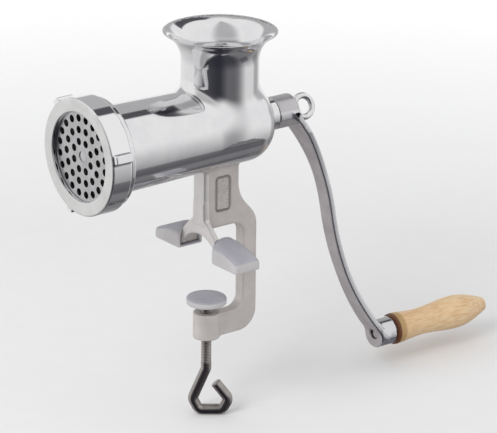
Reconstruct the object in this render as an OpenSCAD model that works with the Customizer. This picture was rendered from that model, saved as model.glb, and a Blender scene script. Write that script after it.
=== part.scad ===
// Hand crank meat grinder, trade size 10, with its own table clamp.
// X runs along the barrel from the ring nut towards the crank, and Z is up.
// The origin is on the clamp screw's axis, at the height of the table top.

/* [Barrel] */
// Height of the barrel's axis above the table top
axis_h = 97; // [90:1:120]
// Distance from the ring nut's front face to the clamp screw's axis
front_reach = 114; // [108:1:130]
// Radius of the barrel behind the ring flange
barrel_front_r = 32.5; // [32:0.5:36]
// Radius of the barrel where its rounded rear end begins
barrel_rear_r = 30; // [29.5:0.5:32]
// Radius of the bore that the worm turns in
bore_r = 26.5; // [24:0.5:27]
// Radius of the barrel's rounded rear edge
rear_edge_r = 20; // [18:0.5:21]
// Distance that the rear bearing's boss stands out of the rounded end
rear_boss_len = 8.6; // [6:0.2:11]
// Distance from the clamp screw's axis to the face that the crank hub meets
rear_face_x = 57.6; // [54:0.2:66]
// Radius of the flat face round the rear bearing
rear_boss_r = 12.4; // [11.5:0.1:14]
// Thickness of the wall between the bore and the rear bearing's seat
bore_end_x = 36; // [30:1:38]

/* [Hopper] */
// Distance from the clamp screw's axis to the hopper's centre
hopper_x = 11; // [4:1:16]
// Height of the hopper's rim above the barrel's axis
rim_h = 72; // [62:1:90]
// Outer radius of the hopper's straight column
column_r = 28.4; // [27.5:0.1:29.5]
// Inner radius of the hopper's straight column
throat_r = 24.6; // [20:0.2:25]
// Outer radius of the flared rim
rim_r = 42.8; // [38:0.2:48]
// Radius of the flare's curve
flare_r = 24; // [20:1:30]
// Thickness of the lip at the rim
rim_lip = 2; // [1.6:0.2:3]

/* [Ring nut] */
// Outer radius of the ring nut
ring_r = 43; // [42:0.5:46]
// Length of the ring nut
ring_len = 17; // [15:0.5:22]
// Radius of the ring nut's front opening
outlet_r = 32.8; // [30:0.2:33.6]
// Thickness of the ring nut's front lip
ring_lip = 3.5; // [2.5:0.5:5]
// Radius of the threaded collar that the ring nut screws onto
collar_r = 38.2; // [37.8:0.1:39]
// Radius of the flange behind the ring nut
flange_r = 40.6; // [39.6:0.2:42]
// Length of the flange behind the ring nut
flange_len = 4.4; // [3:0.2:6]
// Number of grip lugs round the ring nut
lug_count = 3; // [2:1:6]
// Width of a grip lug
lug_w = 6.6; // [5:0.2:9]
// Height of a grip lug above the ring nut
lug_h = 3.8; // [3:0.2:6]
// Length of a grip lug
lug_len = 14; // [8:0.5:14.5]
// Angle of the first lug, turned from the top about the barrel's axis
lug_angle = 42; // [0:1:90]

/* [Grinding set] */
// Radius of the grinding plate
plate_r = 35; // [34.4:0.1:35]
// Thickness of the grinding plate
plate_t = 8; // [6:0.5:10]
// Radius of the holes in the grinding plate
plate_hole_r = 2.75; // [1.5:0.25:3]
// Radius of the pin that keys the plate to the barrel
key_pin_r = 2; // [1.5:0.1:2.2]
// Length of the pin that keys the plate to the barrel
key_pin_len = 10; // [9:0.5:12]
// Radius swept by the knife's blades
knife_r = 31; // [28:0.5:32]
// Thickness of the knife
knife_t = 7; // [5:0.5:8]
// Width of one knife blade
blade_w = 9; // [6:0.5:12]
// Radius of the knife's hub
knife_hub_r = 9; // [8:0.5:11]
// Width across the flats of the square that drives the knife
knife_square = 8; // [7:0.5:9]
// Radius of the stud's pin, which turns in the plate's centre hole
stud_r = 4; // [3:0.25:4.5]
// Depth of the stud's thread in the worm
stud_depth = 12; // [8:1:16]

/* [Worm] */
// Outer radius of the worm's flight
flight_r = 26; // [22:0.5:26]
// Distance that the flight advances in one turn
flight_pitch = 34; // [26:1:40]
// Thickness of the flight, measured along the axis
flight_t = 6; // [4:0.5:9]
// Radius of the worm's core at its front end
core_front_r = 10; // [8:0.5:12]
// Radius of the worm's core at its rear end
core_rear_r = 13; // [11:0.5:16]
// Radius of the shank that turns in the rear bush
shank_r = 7; // [6.8:0.1:7.4]
// Width across the flats of the square tang that carries the crank
tang_w = 9.6; // [8.6:0.1:9.6]
// Length of the square tang
tang_len = 14; // [10:0.5:16]
// Thickness of the thrust washer behind the worm
thrust_t = 2; // [1:0.2:3]
// Outer radius of the thrust washer behind the worm
thrust_r = 12; // [10:0.5:14]
// Outer radius of the rear bush
bush_r = 9; // [8.6:0.1:9.6]

/* [Crank] */
// Distance from the barrel's axis down to the grip's axis
crank_drop = 198.5; // [180:0.5:220]
// Radius of the crank's hub
hub_r = 12.3; // [11.5:0.1:14]
// Length of the crank's hub, with its chamfered end
hub_len = 19; // [18:0.5:22]
// Width of the crank's bar
arm_w = 14.2; // [10:0.2:16]
// Depth below the hub's axis at which the bar, as wide as the hub there, starts to narrow
taper_from = 17; // [14:0.5:20]
// Length over which the bar narrows to its own width
taper_len = 40; // [30:1:60]
// Width of the bar where it runs into the grip's boss
arm_end_w = 21; // [18:0.2:21.4]
// Length over which the bar widens again above the boss
widen_len = 50; // [40:1:60]
// Thickness of the crank's bar
arm_t = 5; // [4:0.2:7]
// Radius of the upper bend, which bows away from the barrel
bow_r = 176; // [165:1:190]
// Lean of the bar where it leaves the hub
bow_start = 35; // [33:1:38]
// Lean of the bar where the two bends meet
bow_end = 9.6; // [8:0.2:11]
// Radius of the lower bend, which sweeps out to the grip
sweep_r = 234; // [224:1:250]
// Radius of the boss that carries the grip
grip_boss_r = 10.9; // [9.5:0.1:13]
// Length of the boss that carries the grip
grip_boss_len = 15; // [12:0.1:18]
// Radius of the thumb screw's thread
thumb_r = 3; // [2.5:0.1:3.5]
// Length of the thumb screw's thread
thumb_len = 17; // [14:0.5:20]
// Radius of the thumb screw's collar
thumb_collar_r = 6; // [5.5:0.1:7.5]
// Radius of the thumb screw's eye, to the middle of its rod
eye_r = 8; // [7:0.1:10]
// Radius of the eye's rod
eye_rod_r = 2.4; // [1.8:0.1:3]
// Turn of the eye at rest, from upright
eye_turn = 20; // [0:5:90]

/* [Grip] */
// Length of the wooden grip
grip_len = 93; // [80:1:115]
// Radius of the grip at its inner end
grip_base_r = 12.3; // [11.5:0.1:14]
// Radius of the grip's waist
grip_waist_r = 10.4; // [9:0.1:11.5]
// Radius of the grip's belly
grip_belly_r = 12.9; // [12:0.1:16]
// Radius of the grip's blunt tip
grip_tip_r = 5.6; // [5.2:0.1:7]
// Distance from the grip's inner end to its waist
waist_at = 28; // [22:1:34]
// Distance from the grip's inner end to its belly
belly_at = 63; // [56:1:70]
// Radius of the bolt that the grip turns on
bolt_r = 2.5; // [2:0.1:3]
// Thickness of the washer under the grip
grip_washer_t = 1.2; // [0.8:0.1:2]

/* [Leg and clamp] */
// Distance from the clamp screw's axis to the front of the leg's flange
leg_front_x = 7.5; // [5:0.5:8]
// Thickness of the leg's front flange
leg_flange_t = 4.5; // [3.5:0.5:6]
// Width of the leg's front flange
leg_flange_w = 14; // [12:0.5:20]
// Thickness of the leg's web, its spine and the lower arm
web_t = 10; // [8:0.5:12]
// Distance from the clamp screw's axis to the back edge of the web's top
web_back_x = 25.6; // [20:0.2:28]
// Distance from the clamp screw's axis to the back of the spine
spine_back_x = 42.5; // [38:0.5:50]
// Distance from the clamp screw's axis to the inside of the spine
throat_x = 30; // [24:1:32]
// Depth of the clamp's mouth below the table top
mouth_depth = 48; // [42:1:60]
// Thickness of the lower arm
arm_depth = 18; // [14:1:22]
// Radius of the boss that the clamp screw runs in
clamp_boss_r = 10; // [8.5:0.5:12]
// Height of the clamp screw's boss above the lower arm
clamp_boss_rise = 2; // [1:0.5:4]

/* [Foot pads] */
// Width of a foot pad
pad_w = 22; // [19:0.5:26]
// Height of a foot pad at its open end
pad_h = 19; // [17:0.5:22]
// Height of a foot pad at its toe
toe_h = 8; // [6:0.5:9]
// Distance from the middle of the grinder to a foot pad's open end
pad_start = 20; // [17:1:24]
// Length of a foot pad
pad_len = 30; // [24:1:36]
// Wall of a foot pad
pad_wall = 2; // [1.5:0.1:2.5]
// Distance from a foot pad's open end in to the foot inside it
shoe_set = 3; // [1:0.5:6]

/* [Clamp screw] */
// Thickness of the table that the clamp is closed on
table_t = 34; // [26:1:36]
// Radius of the clamp screw
screw_r = 4; // [3.6:0.1:4.4]
// Height of the loop's first bend below the table top
loop_top = 88; // [86:1:96]
// Height of the loop's lowest point below the table top
loop_bottom = 128; // [120:1:140]
// Radius of the bends in the loop, to the middle of the rod
loop_bend_r = 5.5; // [4.6:0.1:6]
// Turn of the loop at rest, from the barrel's axis towards the front
loop_turn = 36; // [0:1:90]
// Radius of the pressure disc
disc_r = 13; // [11:0.5:15]
// Thickness of the pressure disc
disc_t = 4.5; // [4:0.25:5]
// Thickness of the rubber over the pressure disc
disc_rubber = 2; // [1.5:0.25:2.5]

/* [Hidden] */
$fn = 64;

// Clearances
run_gap = 0.05;   // radial, between a shaft and its hole
face_gap = 0.1;   // between flat faces that meet
seat_gap = 0.1;   // between a pad and the foot inside it
mouth_gap = 0.3;  // between a pad's open end and the branch outside it
eye_gap = 0.4;    // between the turning eye and the crank's bar
cut = 1;          // how far a cut runs past a face
sink = 2;         // how far joined shapes run into each other

// Stations along the barrel
ring_x = -front_reach;
plate_x = ring_x + ring_lip + face_gap;
collar_x = plate_x + 1.5;
plate_back_x = plate_x + plate_t;
knife_x = plate_back_x + face_gap;
knife_back_x = knife_x + knife_t;
chamber_r = knife_r + 1.5;
chamber_x = knife_back_x + 0.6;
chamber_cone = 4.4;
flange_x = ring_x + ring_len + 0.6;
flange_back_x = flange_x + flange_len;
worm_x = knife_back_x + face_gap;
thrust_x = bore_end_x - face_gap - thrust_t;
worm_back_x = thrust_x - face_gap;
hub_x = rear_face_x + 0.4;
hub_end_x = hub_x + hub_len;
hub_nose = 2;
hub_nose_r = hub_r - hub_nose;
tang_end_x = rear_face_x + tang_len;
collar_face_x = hub_end_x + face_gap;
thumb_collar_t = 1.2;
eye_x = collar_face_x + thumb_collar_t + eye_r + eye_rod_r - 0.8;
thumb_hole_len = thumb_len + 2;
edge_x = rear_face_x - rear_boss_len - rear_edge_r;
edge_centre_r = barrel_rear_r - rear_edge_r;

// Hopper
rim_z = axis_h + rim_h;
outer_flare_h = sqrt(flare_r * flare_r - pow(column_r + flare_r - rim_r, 2));
inner_flare_h = sqrt(flare_r * flare_r - pow(throat_r + flare_r - rim_r + rim_lip, 2));

// Crank bar: two bends that share one tangent
bar_drop_1 = bow_r * (sin(bow_start) - sin(bow_end));
bar_out_1 = bow_r * (cos(bow_end) - cos(bow_start));
boss_z = axis_h - crank_drop;
bar_start_x = hub_end_x + 7;
bar_start_z = axis_h - 15;
bar_mid_x = bar_start_x + bar_out_1;
bar_mid_z = bar_start_z - bar_drop_1;
sweep_drop = bar_mid_z - boss_z;
sweep_end = asin(sin(bow_end) + sweep_drop / sweep_r);
bar_end_x = bar_mid_x + sweep_r * (cos(bow_end) - cos(sweep_end));
// How far the bar's front face has run into the boss at the grip's axis
bar_sink = 1;
grip_boss_x = bar_end_x - arm_t / 2 / cos(sweep_end) - bar_sink;
grip_boss_end_x = grip_boss_x + grip_boss_len;
grip_washer_x = grip_boss_end_x + face_gap;
grip_x = grip_washer_x + grip_washer_t + face_gap;
bolt_head_r = 3.9;
bolt_head_len = 3.4;
bolt_seat = 5;
rivet_r = 3.4;
rivet_seat_r = 4.2;
rivet_seat = 4;

// Clamp
arm_top_z = -mouth_depth;
arm_bottom_z = arm_top_z - arm_depth;
boss_top_z = arm_top_z + clamp_boss_rise;
disc_z = -table_t - disc_rubber - disc_t;
disc_top_z = -table_t - disc_rubber;
stem_r = 2.5;
rivet_head_r = 4.2;
rivet_head_t = 1.3;
rivet_seat_t = 1.8;
rubber_skirt = 3;
web_underside_z = 20;
shoulder_z = 23;
web_corner_z = 42;
mouth_corner_r = 9;
spine_corner_r = 16;
foot_arch_r = 24;
foot_arch_z = 16;
branch_root_z = 29;
branch_tip_z = 12;
branch_sole_z = 3;
panel_x = 10.8;
panel_z = 45.5;
panel_w = 13.5;
panel_h = 27;
panel_depth = 0.5;

// Turns a shape drawn along Z so that it lies on the barrel's axis
module on_axis() {
    translate([0, 0, axis_h]) rotate([0, 90, 0]) children();
}

// Turns a shape drawn along Z so that it lies on the grip's axis
module on_grip_axis() {
    translate([0, 0, boss_z]) rotate([0, 90, 0]) children();
}

// A cylinder on the Z axis between two heights
module rod(r, from, to) {
    translate([0, 0, from]) cylinder(r = r, h = to - from);
}

// A plate whose outline is drawn in X and Z
module upright_plate(thickness) {
    rotate([90, 0, 0]) linear_extrude(height = thickness, center = true) children();
}

// A rectangle with round corners, from its low corner to its high corner
module round_rect(low, high, r) {
    translate([low[0] + r, low[1]]) square([high[0] - low[0] - 2 * r, high[1] - low[1]]);
    translate([low[0], low[1] + r]) square([high[0] - low[0], high[1] - low[1] - 2 * r]);
    for (x = [low[0] + r, high[0] - r], y = [low[1] + r, high[1] - r])
        translate([x, y]) circle(r = r);
}

// Outside of the barrel, drawn as radius and distance along the axis
module barrel_profile() {
    polygon([[0, collar_x], [collar_r, collar_x], [collar_r, flange_x], [flange_r, flange_x],
             [flange_r, flange_back_x], [barrel_front_r, flange_back_x],
             [barrel_rear_r, edge_x], [0, edge_x]]);
    translate([0, edge_x - cut]) square([edge_centre_r, rear_edge_r + cut]);
    intersection() {
        translate([edge_centre_r, edge_x]) circle(r = rear_edge_r);
        translate([0, edge_x - cut]) square([barrel_rear_r, rear_edge_r + 2 * cut]);
    }
    translate([0, edge_x]) square([rear_boss_r, rear_face_x - edge_x]);
}

// Everything that is hollow inside the barrel
module barrel_hollow() {
    rod(plate_r + run_gap, collar_x - cut, knife_x);
    rod(chamber_r, knife_x - cut, chamber_x);
    translate([0, 0, chamber_x])
        cylinder(r1 = chamber_r, r2 = bore_r, h = chamber_cone);
    rod(bore_r, chamber_x, bore_end_x);
    rod(bush_r + run_gap, bore_end_x - cut, rear_face_x + cut);
}

// Outside of the hopper, drawn as radius and height above the barrel's axis
module hopper_profile() {
    square([column_r, rim_h - outer_flare_h]);
    translate([0, rim_h - outer_flare_h]) difference() {
        square([rim_r, outer_flare_h]);
        translate([column_r + flare_r, 0]) circle(r = flare_r);
    }
}

// Inside of the hopper, drawn in the same way
module hopper_hollow_profile() {
    square([throat_r, rim_h - inner_flare_h]);
    translate([0, rim_h - inner_flare_h]) difference() {
        square([rim_r - rim_lip, inner_flare_h]);
        translate([throat_r + flare_r, 0]) circle(r = flare_r);
    }
    translate([0, rim_h - cut / 4]) square([rim_r - rim_lip, cut]);
}

// Web, spine and lower arm of the clamp in one flat outline
module clamp_outline() {
    difference() {
        union() {
            translate([-leg_front_x + cut, web_underside_z])
                square([web_back_x + leg_front_x - cut, axis_h - web_underside_z - barrel_rear_r + 6]);
            polygon([[web_back_x, web_corner_z], [spine_back_x, shoulder_z],
                     [spine_back_x, 0], [0, 0], [0, web_corner_z]]);
            round_rect([-clamp_boss_r - spine_corner_r, arm_bottom_z],
                       [spine_back_x, shoulder_z], spine_corner_r);
            translate([spine_back_x - spine_corner_r, 0]) square([spine_corner_r, shoulder_z]);
        }
        round_rect([-2 * spine_back_x, arm_top_z], [throat_x, web_underside_z], mouth_corner_r);
        translate([-3 * spine_back_x, arm_bottom_z - cut])
            square([3 * spine_back_x, web_underside_z - arm_bottom_z + cut]);
        translate([-3 * spine_back_x, arm_bottom_z - cut])
            square([3 * spine_back_x - leg_front_x + cut, shoulder_z - arm_bottom_z + 2 * cut]);
    }
    translate([0, arm_bottom_z]) square([throat_x, arm_depth]);
}

// Cross-section of a foot: a flat sole with straight sides under a round arch
module foot_section(inset) {
    r = pad_w / 2 - inset;
    arch_z = pad_h - pad_w / 2;
    translate([-r, inset]) square([2 * r, arch_z - inset]);
    translate([0, arch_z]) circle(r = r);
}

// A foot on the +Y side, its top sloping down to the toe
module foot_form(inset, from_y) {
    to_y = pad_start + pad_len - inset;
    slope_drop = inset * 1.1;
    intersection() {
        translate([0, from_y, 0]) rotate([-90, 0, 0]) mirror([0, 1, 0])
            linear_extrude(height = to_y - from_y) foot_section(inset);
        rotate([90, 0, 90]) linear_extrude(height = 2 * pad_w, center = true)
            polygon([[from_y - cut, inset], [to_y, inset], [to_y, toe_h - slope_drop],
                     [pad_start + 3, pad_h - slope_drop + 1], [from_y - cut, pad_h]]);
    }
}

// One foot pad on the +Y side: a cap that is open towards the leg
module foot_pad() {
    difference() {
        foot_form(0, pad_start);
        foot_form(pad_wall, pad_start - cut);
    }
}

// Flat plate of the two branches, spread from the flange like a wishbone
module branch_plate() {
    reach = pad_start + shoe_set + sink;
    translate([-leg_front_x, 0, 0]) rotate([90, 0, 90]) linear_extrude(height = leg_flange_t)
        difference() {
            polygon([[-leg_flange_w / 2, branch_root_z + leg_flange_w], [-leg_flange_w / 2, branch_root_z],
                     [-reach, branch_tip_z], [-reach, branch_sole_z], [reach, branch_sole_z], [reach, branch_tip_z],
                     [leg_flange_w / 2, branch_root_z], [leg_flange_w / 2, branch_root_z + leg_flange_w]]);
            translate([0, foot_arch_z - foot_arch_r]) circle(r = foot_arch_r);
        }
}

// The branches, each with a tongue that enters its pad and a foot at the tongue's end
module foot_branches() {
    intersection() {
        branch_plate();
        translate([-pad_w, mouth_gap - pad_start, 0])
            cube([2 * pad_w, 2 * (pad_start - mouth_gap), axis_h]);
    }
    for (side = [0, 1]) mirror([0, side, 0]) {
        intersection() {
            branch_plate();
            foot_form(pad_wall + seat_gap, pad_start - cut);
        }
        foot_form(pad_wall + seat_gap, pad_start + shoe_set);
    }
}

module body_casting() {
    color("gainsboro") difference() {
        union() {
            on_axis() rotate_extrude() barrel_profile();
            translate([hopper_x, 0, axis_h]) rotate_extrude() hopper_profile();
            upright_plate(web_t) clamp_outline();
            translate([-leg_front_x, -leg_flange_w / 2, branch_root_z])
                cube([leg_flange_t, leg_flange_w, axis_h - barrel_front_r - branch_root_z + 4]);
            foot_branches();
            rod(clamp_boss_r, arm_bottom_z, boss_top_z);
        }
        on_axis() barrel_hollow();
        translate([hopper_x, 0, axis_h]) rotate_extrude() hopper_hollow_profile();
        on_axis() translate([plate_r, 0, 0])
            rod(key_pin_r + run_gap, collar_x - cut, collar_x + key_pin_len + run_gap);
        rod(screw_r + run_gap, arm_bottom_z - cut, boss_top_z + cut);
        translate([0, -web_t / 2, 0]) upright_plate(2 * panel_depth)
            round_rect([panel_x - panel_w / 2, panel_z - panel_h / 2],
                       [panel_x + panel_w / 2, panel_z + panel_h / 2], 3);
    }
}

module foot_pad_front() {
    color("slategray") mirror([0, 1, 0]) foot_pad();
}

module foot_pad_rear() {
    color("slategray") foot_pad();
}

module plate_key_pin() {
    color("silver") on_axis() translate([plate_r, 0, 0])
        rod(key_pin_r, collar_x, collar_x + key_pin_len);
}

module rear_bush() {
    color("ivory") on_axis() difference() {
        rod(bush_r, bore_end_x, rear_face_x - face_gap);
        rod(shank_r + run_gap, bore_end_x - cut, rear_face_x + cut);
    }
}

module thrust_washer() {
    color("ivory") on_axis() difference() {
        rod(thrust_r, thrust_x, thrust_x + thrust_t);
        rod(shank_r + run_gap, thrust_x - cut, bore_end_x);
    }
}

module ring_nut() {
    color("gainsboro") on_axis() difference() {
        union() {
            rod(ring_r, ring_x, ring_x + ring_len);
            for (i = [0 : lug_count - 1])
                rotate([0, 0, 180 - lug_angle + i * 360 / lug_count])
                    translate([0, -lug_w / 2, ring_x + (ring_len - lug_len) / 2])
                        cube([ring_r + lug_h, lug_w, lug_len]);
        }
        rod(outlet_r, ring_x - cut, ring_x + ring_lip + cut);
        rod(collar_r + run_gap, ring_x + ring_lip, ring_x + ring_len + cut);
    }
}

// Rings of holes in the grinding plate: radius of the ring and number of holes
hole_rings = [[11, 8], [19.5, 14], [28, 20]];

module grinding_plate() {
    color("silver") on_axis() difference() {
        rod(plate_r, plate_x, plate_back_x);
        rod(stud_r + run_gap, plate_x - cut, plate_back_x + cut);
        for (ring = hole_rings, i = [0 : ring[1] - 1])
            rotate([0, 0, (i + 0.5) * 360 / ring[1]]) translate([ring[0], 0, 0])
                rod(plate_hole_r, plate_x - cut, plate_back_x + cut);
        translate([plate_r, 0, 0])
            rod(key_pin_r + 4 * run_gap, plate_x - cut, plate_back_x + cut);
    }
}

module knife() {
    square_hole = knife_square + 2 * run_gap;
    color("silver") on_axis() difference() {
        union() {
            rod(knife_hub_r, knife_x, knife_back_x);
            for (i = [0 : 3]) rotate([0, 0, 45 + 90 * i]) intersection() {
                rod(knife_r, knife_x, knife_back_x);
                translate([0, -blade_w / 2, knife_x])
                    rotate([90, 0, 90]) linear_extrude(height = knife_r)
                        polygon([[0, 0], [blade_w, 0], [blade_w * 0.7, knife_t], [blade_w * 0.3, knife_t]]);
            }
        }
        translate([-square_hole / 2, -square_hole / 2, knife_x - cut])
            cube([square_hole, square_hole, knife_t + 2 * cut]);
    }
}

module knife_stud() {
    color("silver") on_axis() {
        rod(stud_r, plate_x + 0.6, knife_x + sink);
        translate([-knife_square / 2, -knife_square / 2, knife_x])
            cube([knife_square, knife_square, knife_t]);
        rod(stud_r, knife_back_x - sink, worm_x + stud_depth);
    }
}

// Cross-section of the flight: a sector as wide as the flight's thickness needs
module flight_section() {
    half = flight_t / flight_pitch * 180;
    root_r = core_front_r - sink;
    polygon([for (i = [0 : 4]) let (a = -half + i * half / 2) flight_r * [cos(a), sin(a)],
             root_r * [cos(half), sin(half)], root_r * [cos(half), -sin(half)]]);
}

module worm() {
    core_len = worm_back_x - worm_x;
    flight_from = worm_x + 5;
    flight_len = worm_back_x - flight_from - 1;
    color("lightgray") on_axis() difference() {
        union() {
            translate([0, 0, worm_x]) cylinder(r1 = core_front_r, r2 = core_rear_r, h = core_len);
            translate([0, 0, flight_from])
                linear_extrude(height = flight_len, twist = 360 * flight_len / flight_pitch,
                               slices = round(flight_len / 1.8), $fn = 7) flight_section();
            rod(shank_r, worm_back_x - sink, rear_face_x);
            translate([-tang_w / 2, -tang_w / 2, rear_face_x - sink])
                cube([tang_w, tang_w, tang_len + sink]);
        }
        rod(stud_r + run_gap, worm_x - cut, worm_x + stud_depth + cut);
        rod(thumb_r + run_gap, tang_end_x - thumb_hole_len, tang_end_x + cut);
    }
}

// A length of bar bent round a centre, from one lean to another
module bent_bar(r, from, to) {
    far = r + 2 * arm_t;
    intersection() {
        difference() {
            circle(r = r + arm_t / 2, $fn = 200);
            circle(r = r - arm_t / 2, $fn = 200);
        }
        polygon([[0, 0], [far * cos(from), far * sin(from)] * 1.2, [far * cos(to), far * sin(to)] * 1.2]);
    }
}

// Side view of the crank's bar in X and Z
module bar_outline() {
    translate([bar_mid_x - bow_r * cos(bow_end), bar_mid_z - bow_r * sin(bow_end)])
        bent_bar(bow_r, bow_end - 0.2, bow_start);
    translate([bar_mid_x + sweep_r * cos(bow_end), bar_mid_z + sweep_r * sin(bow_end)])
        rotate(180) bent_bar(sweep_r, bow_end - 0.2, sweep_end);
    // Straight root that runs up into the hub
    translate([bar_start_x, bar_start_z]) rotate(bow_start)
        translate([-arm_t / 2, -0.5]) square([arm_t, 20]);
}

// Half width of the bar at the hub's end, from 0 where it starts to narrow to 1 at its own width
function bar_half(t) = arm_w / 2 + (hub_r - arm_w / 2) * pow(1 - t, 1.5);

// Half width of the bar at the grip's end, from 0 where it starts to widen to 1 at the boss
function bar_end_half(t) = arm_w / 2 + (arm_end_w - arm_w) / 2 * pow(t, 1.5);

taper_steps = 6;

// Front view of the crank's bar in Y and Z, through which its side view is cut
module bar_front() {
    boss_top_z = boss_z + grip_boss_r;
    side = [[hub_r, axis_h],
            for (i = [0 : taper_steps])
                [bar_half(i / taper_steps), axis_h - taper_from - taper_len * i / taper_steps],
            for (i = [0 : taper_steps])
                [bar_end_half(i / taper_steps), boss_top_z + widen_len * (1 - i / taper_steps)],
            [arm_end_w / 2, boss_z - grip_boss_r]];
    polygon([for (p = side) p, for (i = [len(side) - 1 : -1 : 0]) [-side[i][0], side[i][1]]]);
}

module crank_arm() {
    square_hole = tang_w + 2 * run_gap;
    color("darkgray") difference() {
        union() {
            on_axis() {
                rod(hub_r, hub_x, hub_end_x - hub_nose);
                translate([0, 0, hub_end_x - hub_nose])
                    cylinder(r1 = hub_r, r2 = hub_nose_r, h = hub_nose);
            }
            intersection() {
                upright_plate(2 * hub_r) bar_outline();
                translate([hub_x, 0, 0]) rotate([90, 0, 90])
                    linear_extrude(height = grip_boss_end_x - hub_x) bar_front();
            }
            on_grip_axis() rod(grip_boss_r, grip_boss_x, grip_boss_end_x);
        }
        on_axis() {
            translate([-square_hole / 2, -square_hole / 2, hub_x - cut])
                cube([square_hole, square_hole, hub_len + 2 * cut]);
            rod(thumb_collar_r + 1, hub_end_x, hub_end_x + 20);
        }
        translate([eye_x, 0, axis_h]) sphere(r = eye_r + eye_rod_r + eye_gap);
        on_grip_axis() {
            rod(rivet_seat_r, grip_boss_x - 20, grip_boss_x + rivet_seat);
            rod(bolt_r + run_gap, grip_boss_x, grip_boss_end_x + cut);
            rod(2 * grip_boss_r, grip_boss_end_x, grip_boss_end_x + 10);
        }
    }
}

module thumb_screw() {
    color("silver") on_axis() {
        rod(thumb_r, tang_end_x - thumb_len + 1, collar_face_x + sink / 2);
        rod(thumb_collar_r, collar_face_x, collar_face_x + thumb_collar_t);
        translate([0, 0, eye_x]) rotate([0, 0, -eye_turn]) rotate([90, 0, 0])
            rotate_extrude() translate([eye_r, 0]) circle(r = eye_rod_r);
    }
}

module grip_bolt() {
    head_x = grip_x + grip_len - bolt_seat;
    color("silver") on_grip_axis() {
        rod(rivet_r, grip_boss_x + rivet_seat - 2.4, grip_boss_x + rivet_seat - run_gap);
        rod(bolt_r, grip_boss_x + rivet_seat - 1, head_x + 1);
        rod(bolt_head_r, head_x + face_gap, head_x + bolt_head_len);
    }
}

module grip_washer() {
    color("silver") on_grip_axis() difference() {
        rod(grip_boss_r - 1.4, grip_washer_x, grip_washer_x + grip_washer_t);
        rod(bolt_r + run_gap, grip_washer_x - cut, grip_washer_x + grip_washer_t + cut);
    }
}

// Smooth step from 0 to 1
function ease(t) = (1 - cos(180 * t)) / 2;

// Radius of the grip at a distance from its inner end
function grip_radius(s) =
    s < waist_at ? grip_base_r + (grip_waist_r - grip_base_r) * ease(s / waist_at)
    : s < belly_at ? grip_waist_r + (grip_belly_r - grip_waist_r) * ease((s - waist_at) / (belly_at - waist_at))
    : grip_tip_r + (grip_belly_r - grip_tip_r) * cos(90 * (s - belly_at) / (grip_len - belly_at));

grip_steps = 28;

module grip() {
    color("burlywood") on_grip_axis() difference() {
        translate([0, 0, grip_x]) rotate_extrude()
            polygon([[0, 0], [grip_base_r - 1, 0], for (i = [1 : grip_steps])
                let (s = grip_len * i / grip_steps) [grip_radius(s), s], [0, grip_len]]);
        rod(bolt_r + run_gap, grip_x - cut, grip_x + grip_len + cut);
        rod(bolt_head_r + 2 * run_gap, grip_x + grip_len - bolt_seat, grip_x + grip_len + cut);
    }
}

module clamp_disc() {
    color("darkgray") difference() {
        rod(disc_r, disc_z, disc_top_z);
        rod(stem_r + run_gap, disc_z - cut, disc_top_z + cut);
        rod(rivet_head_r + 2 * run_gap, disc_top_z - rivet_seat_t, disc_top_z + cut);
    }
}

module clamp_disc_rubber() {
    color("slategray") difference() {
        rod(disc_r + disc_rubber, disc_top_z - rubber_skirt, -table_t);
        rod(disc_r + run_gap, disc_top_z - rubber_skirt - cut, disc_top_z + run_gap);
    }
}

// Direction from one point to another, and the direction to its left
function heading(p, q) = (q - p) / norm(q - p);
function leftward(way) = [-way[1], way[0]];

// Stations round the bend at corner i: each a point and the direction to its left
function bend_stations(path, i) =
    let (way_in = heading(path[i - 1], path[i]),
         way_out = heading(path[i], path[i + 1]),
         side = sign(leftward(way_in) * way_out),
         turn = acos(way_in * way_out),
         centre = path[i] - way_in * loop_bend_r * tan(turn / 2) + side * leftward(way_in) * loop_bend_r,
         start = atan2(-side * way_in[0], side * way_in[1]))
    [for (k = [0 : bend_steps]) let (a = start + side * turn * k / bend_steps)
        [centre + loop_bend_r * [cos(a), sin(a)], -side * [cos(a), sin(a)]]];

// All the stations along a flat path that bends at its inner corners
function rod_stations(path) =
    let (last = len(path) - 1)
    concat([[path[0], leftward(heading(path[0], path[1]))]],
           [for (i = [1 : last - 1]) each bend_stations(path, i)],
           [[path[last], leftward(heading(path[last - 1], path[last]))]]);

// A round rod swept along a flat path in X and Z
module bent_rod(path, r) {
    stations = rod_stations(path);
    rings = len(stations);
    points = [for (s = stations, j = [0 : rod_sides - 1]) let (a = 360 * j / rod_sides)
        [s[0][0] + r * cos(a) * s[1][0], r * sin(a), s[0][1] + r * cos(a) * s[1][1]]];
    sides = [for (i = [0 : rings - 2], j = [0 : rod_sides - 1])
        let (k = (j + 1) % rod_sides, here = i * rod_sides, next = here + rod_sides)
        [here + j, here + k, next + k, next + j]];
    polyhedron(points, concat(sides, [[for (j = [rod_sides - 1 : -1 : 0]) j]],
                              [[for (j = [0 : rod_sides - 1]) (rings - 1) * rod_sides + j]]));
}

// The loop's corners: distance from the screw's axis and height
loop_path = [[0, -loop_top + 6], [0, -loop_top - 3], [-10, -loop_bottom + 13],
             [-5.5, -loop_bottom + screw_r], [12.5, -loop_bottom + screw_r],
             [17, -loop_bottom + 12.5], [7, -loop_bottom + 25.5]];
bend_steps = 6;
rod_sides = 16;

module clamp_screw() {
    color("dimgray") {
        rod(stem_r, disc_z - sink, disc_top_z - rivet_seat_t + rivet_head_t);
        rod(screw_r, -loop_top, disc_z - face_gap);
        rotate([0, 0, -loop_turn]) bent_rod(loop_path, screw_r - run_gap);
    }
}

module clamp_screw_rivet() {
    color("gray") difference() {
        rod(rivet_head_r, disc_top_z - rivet_seat_t + run_gap, disc_top_z - rivet_seat_t + rivet_head_t);
        rod(stem_r + run_gap / 2, disc_top_z - rivet_seat_t - cut, disc_top_z);
    }
}

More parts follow.
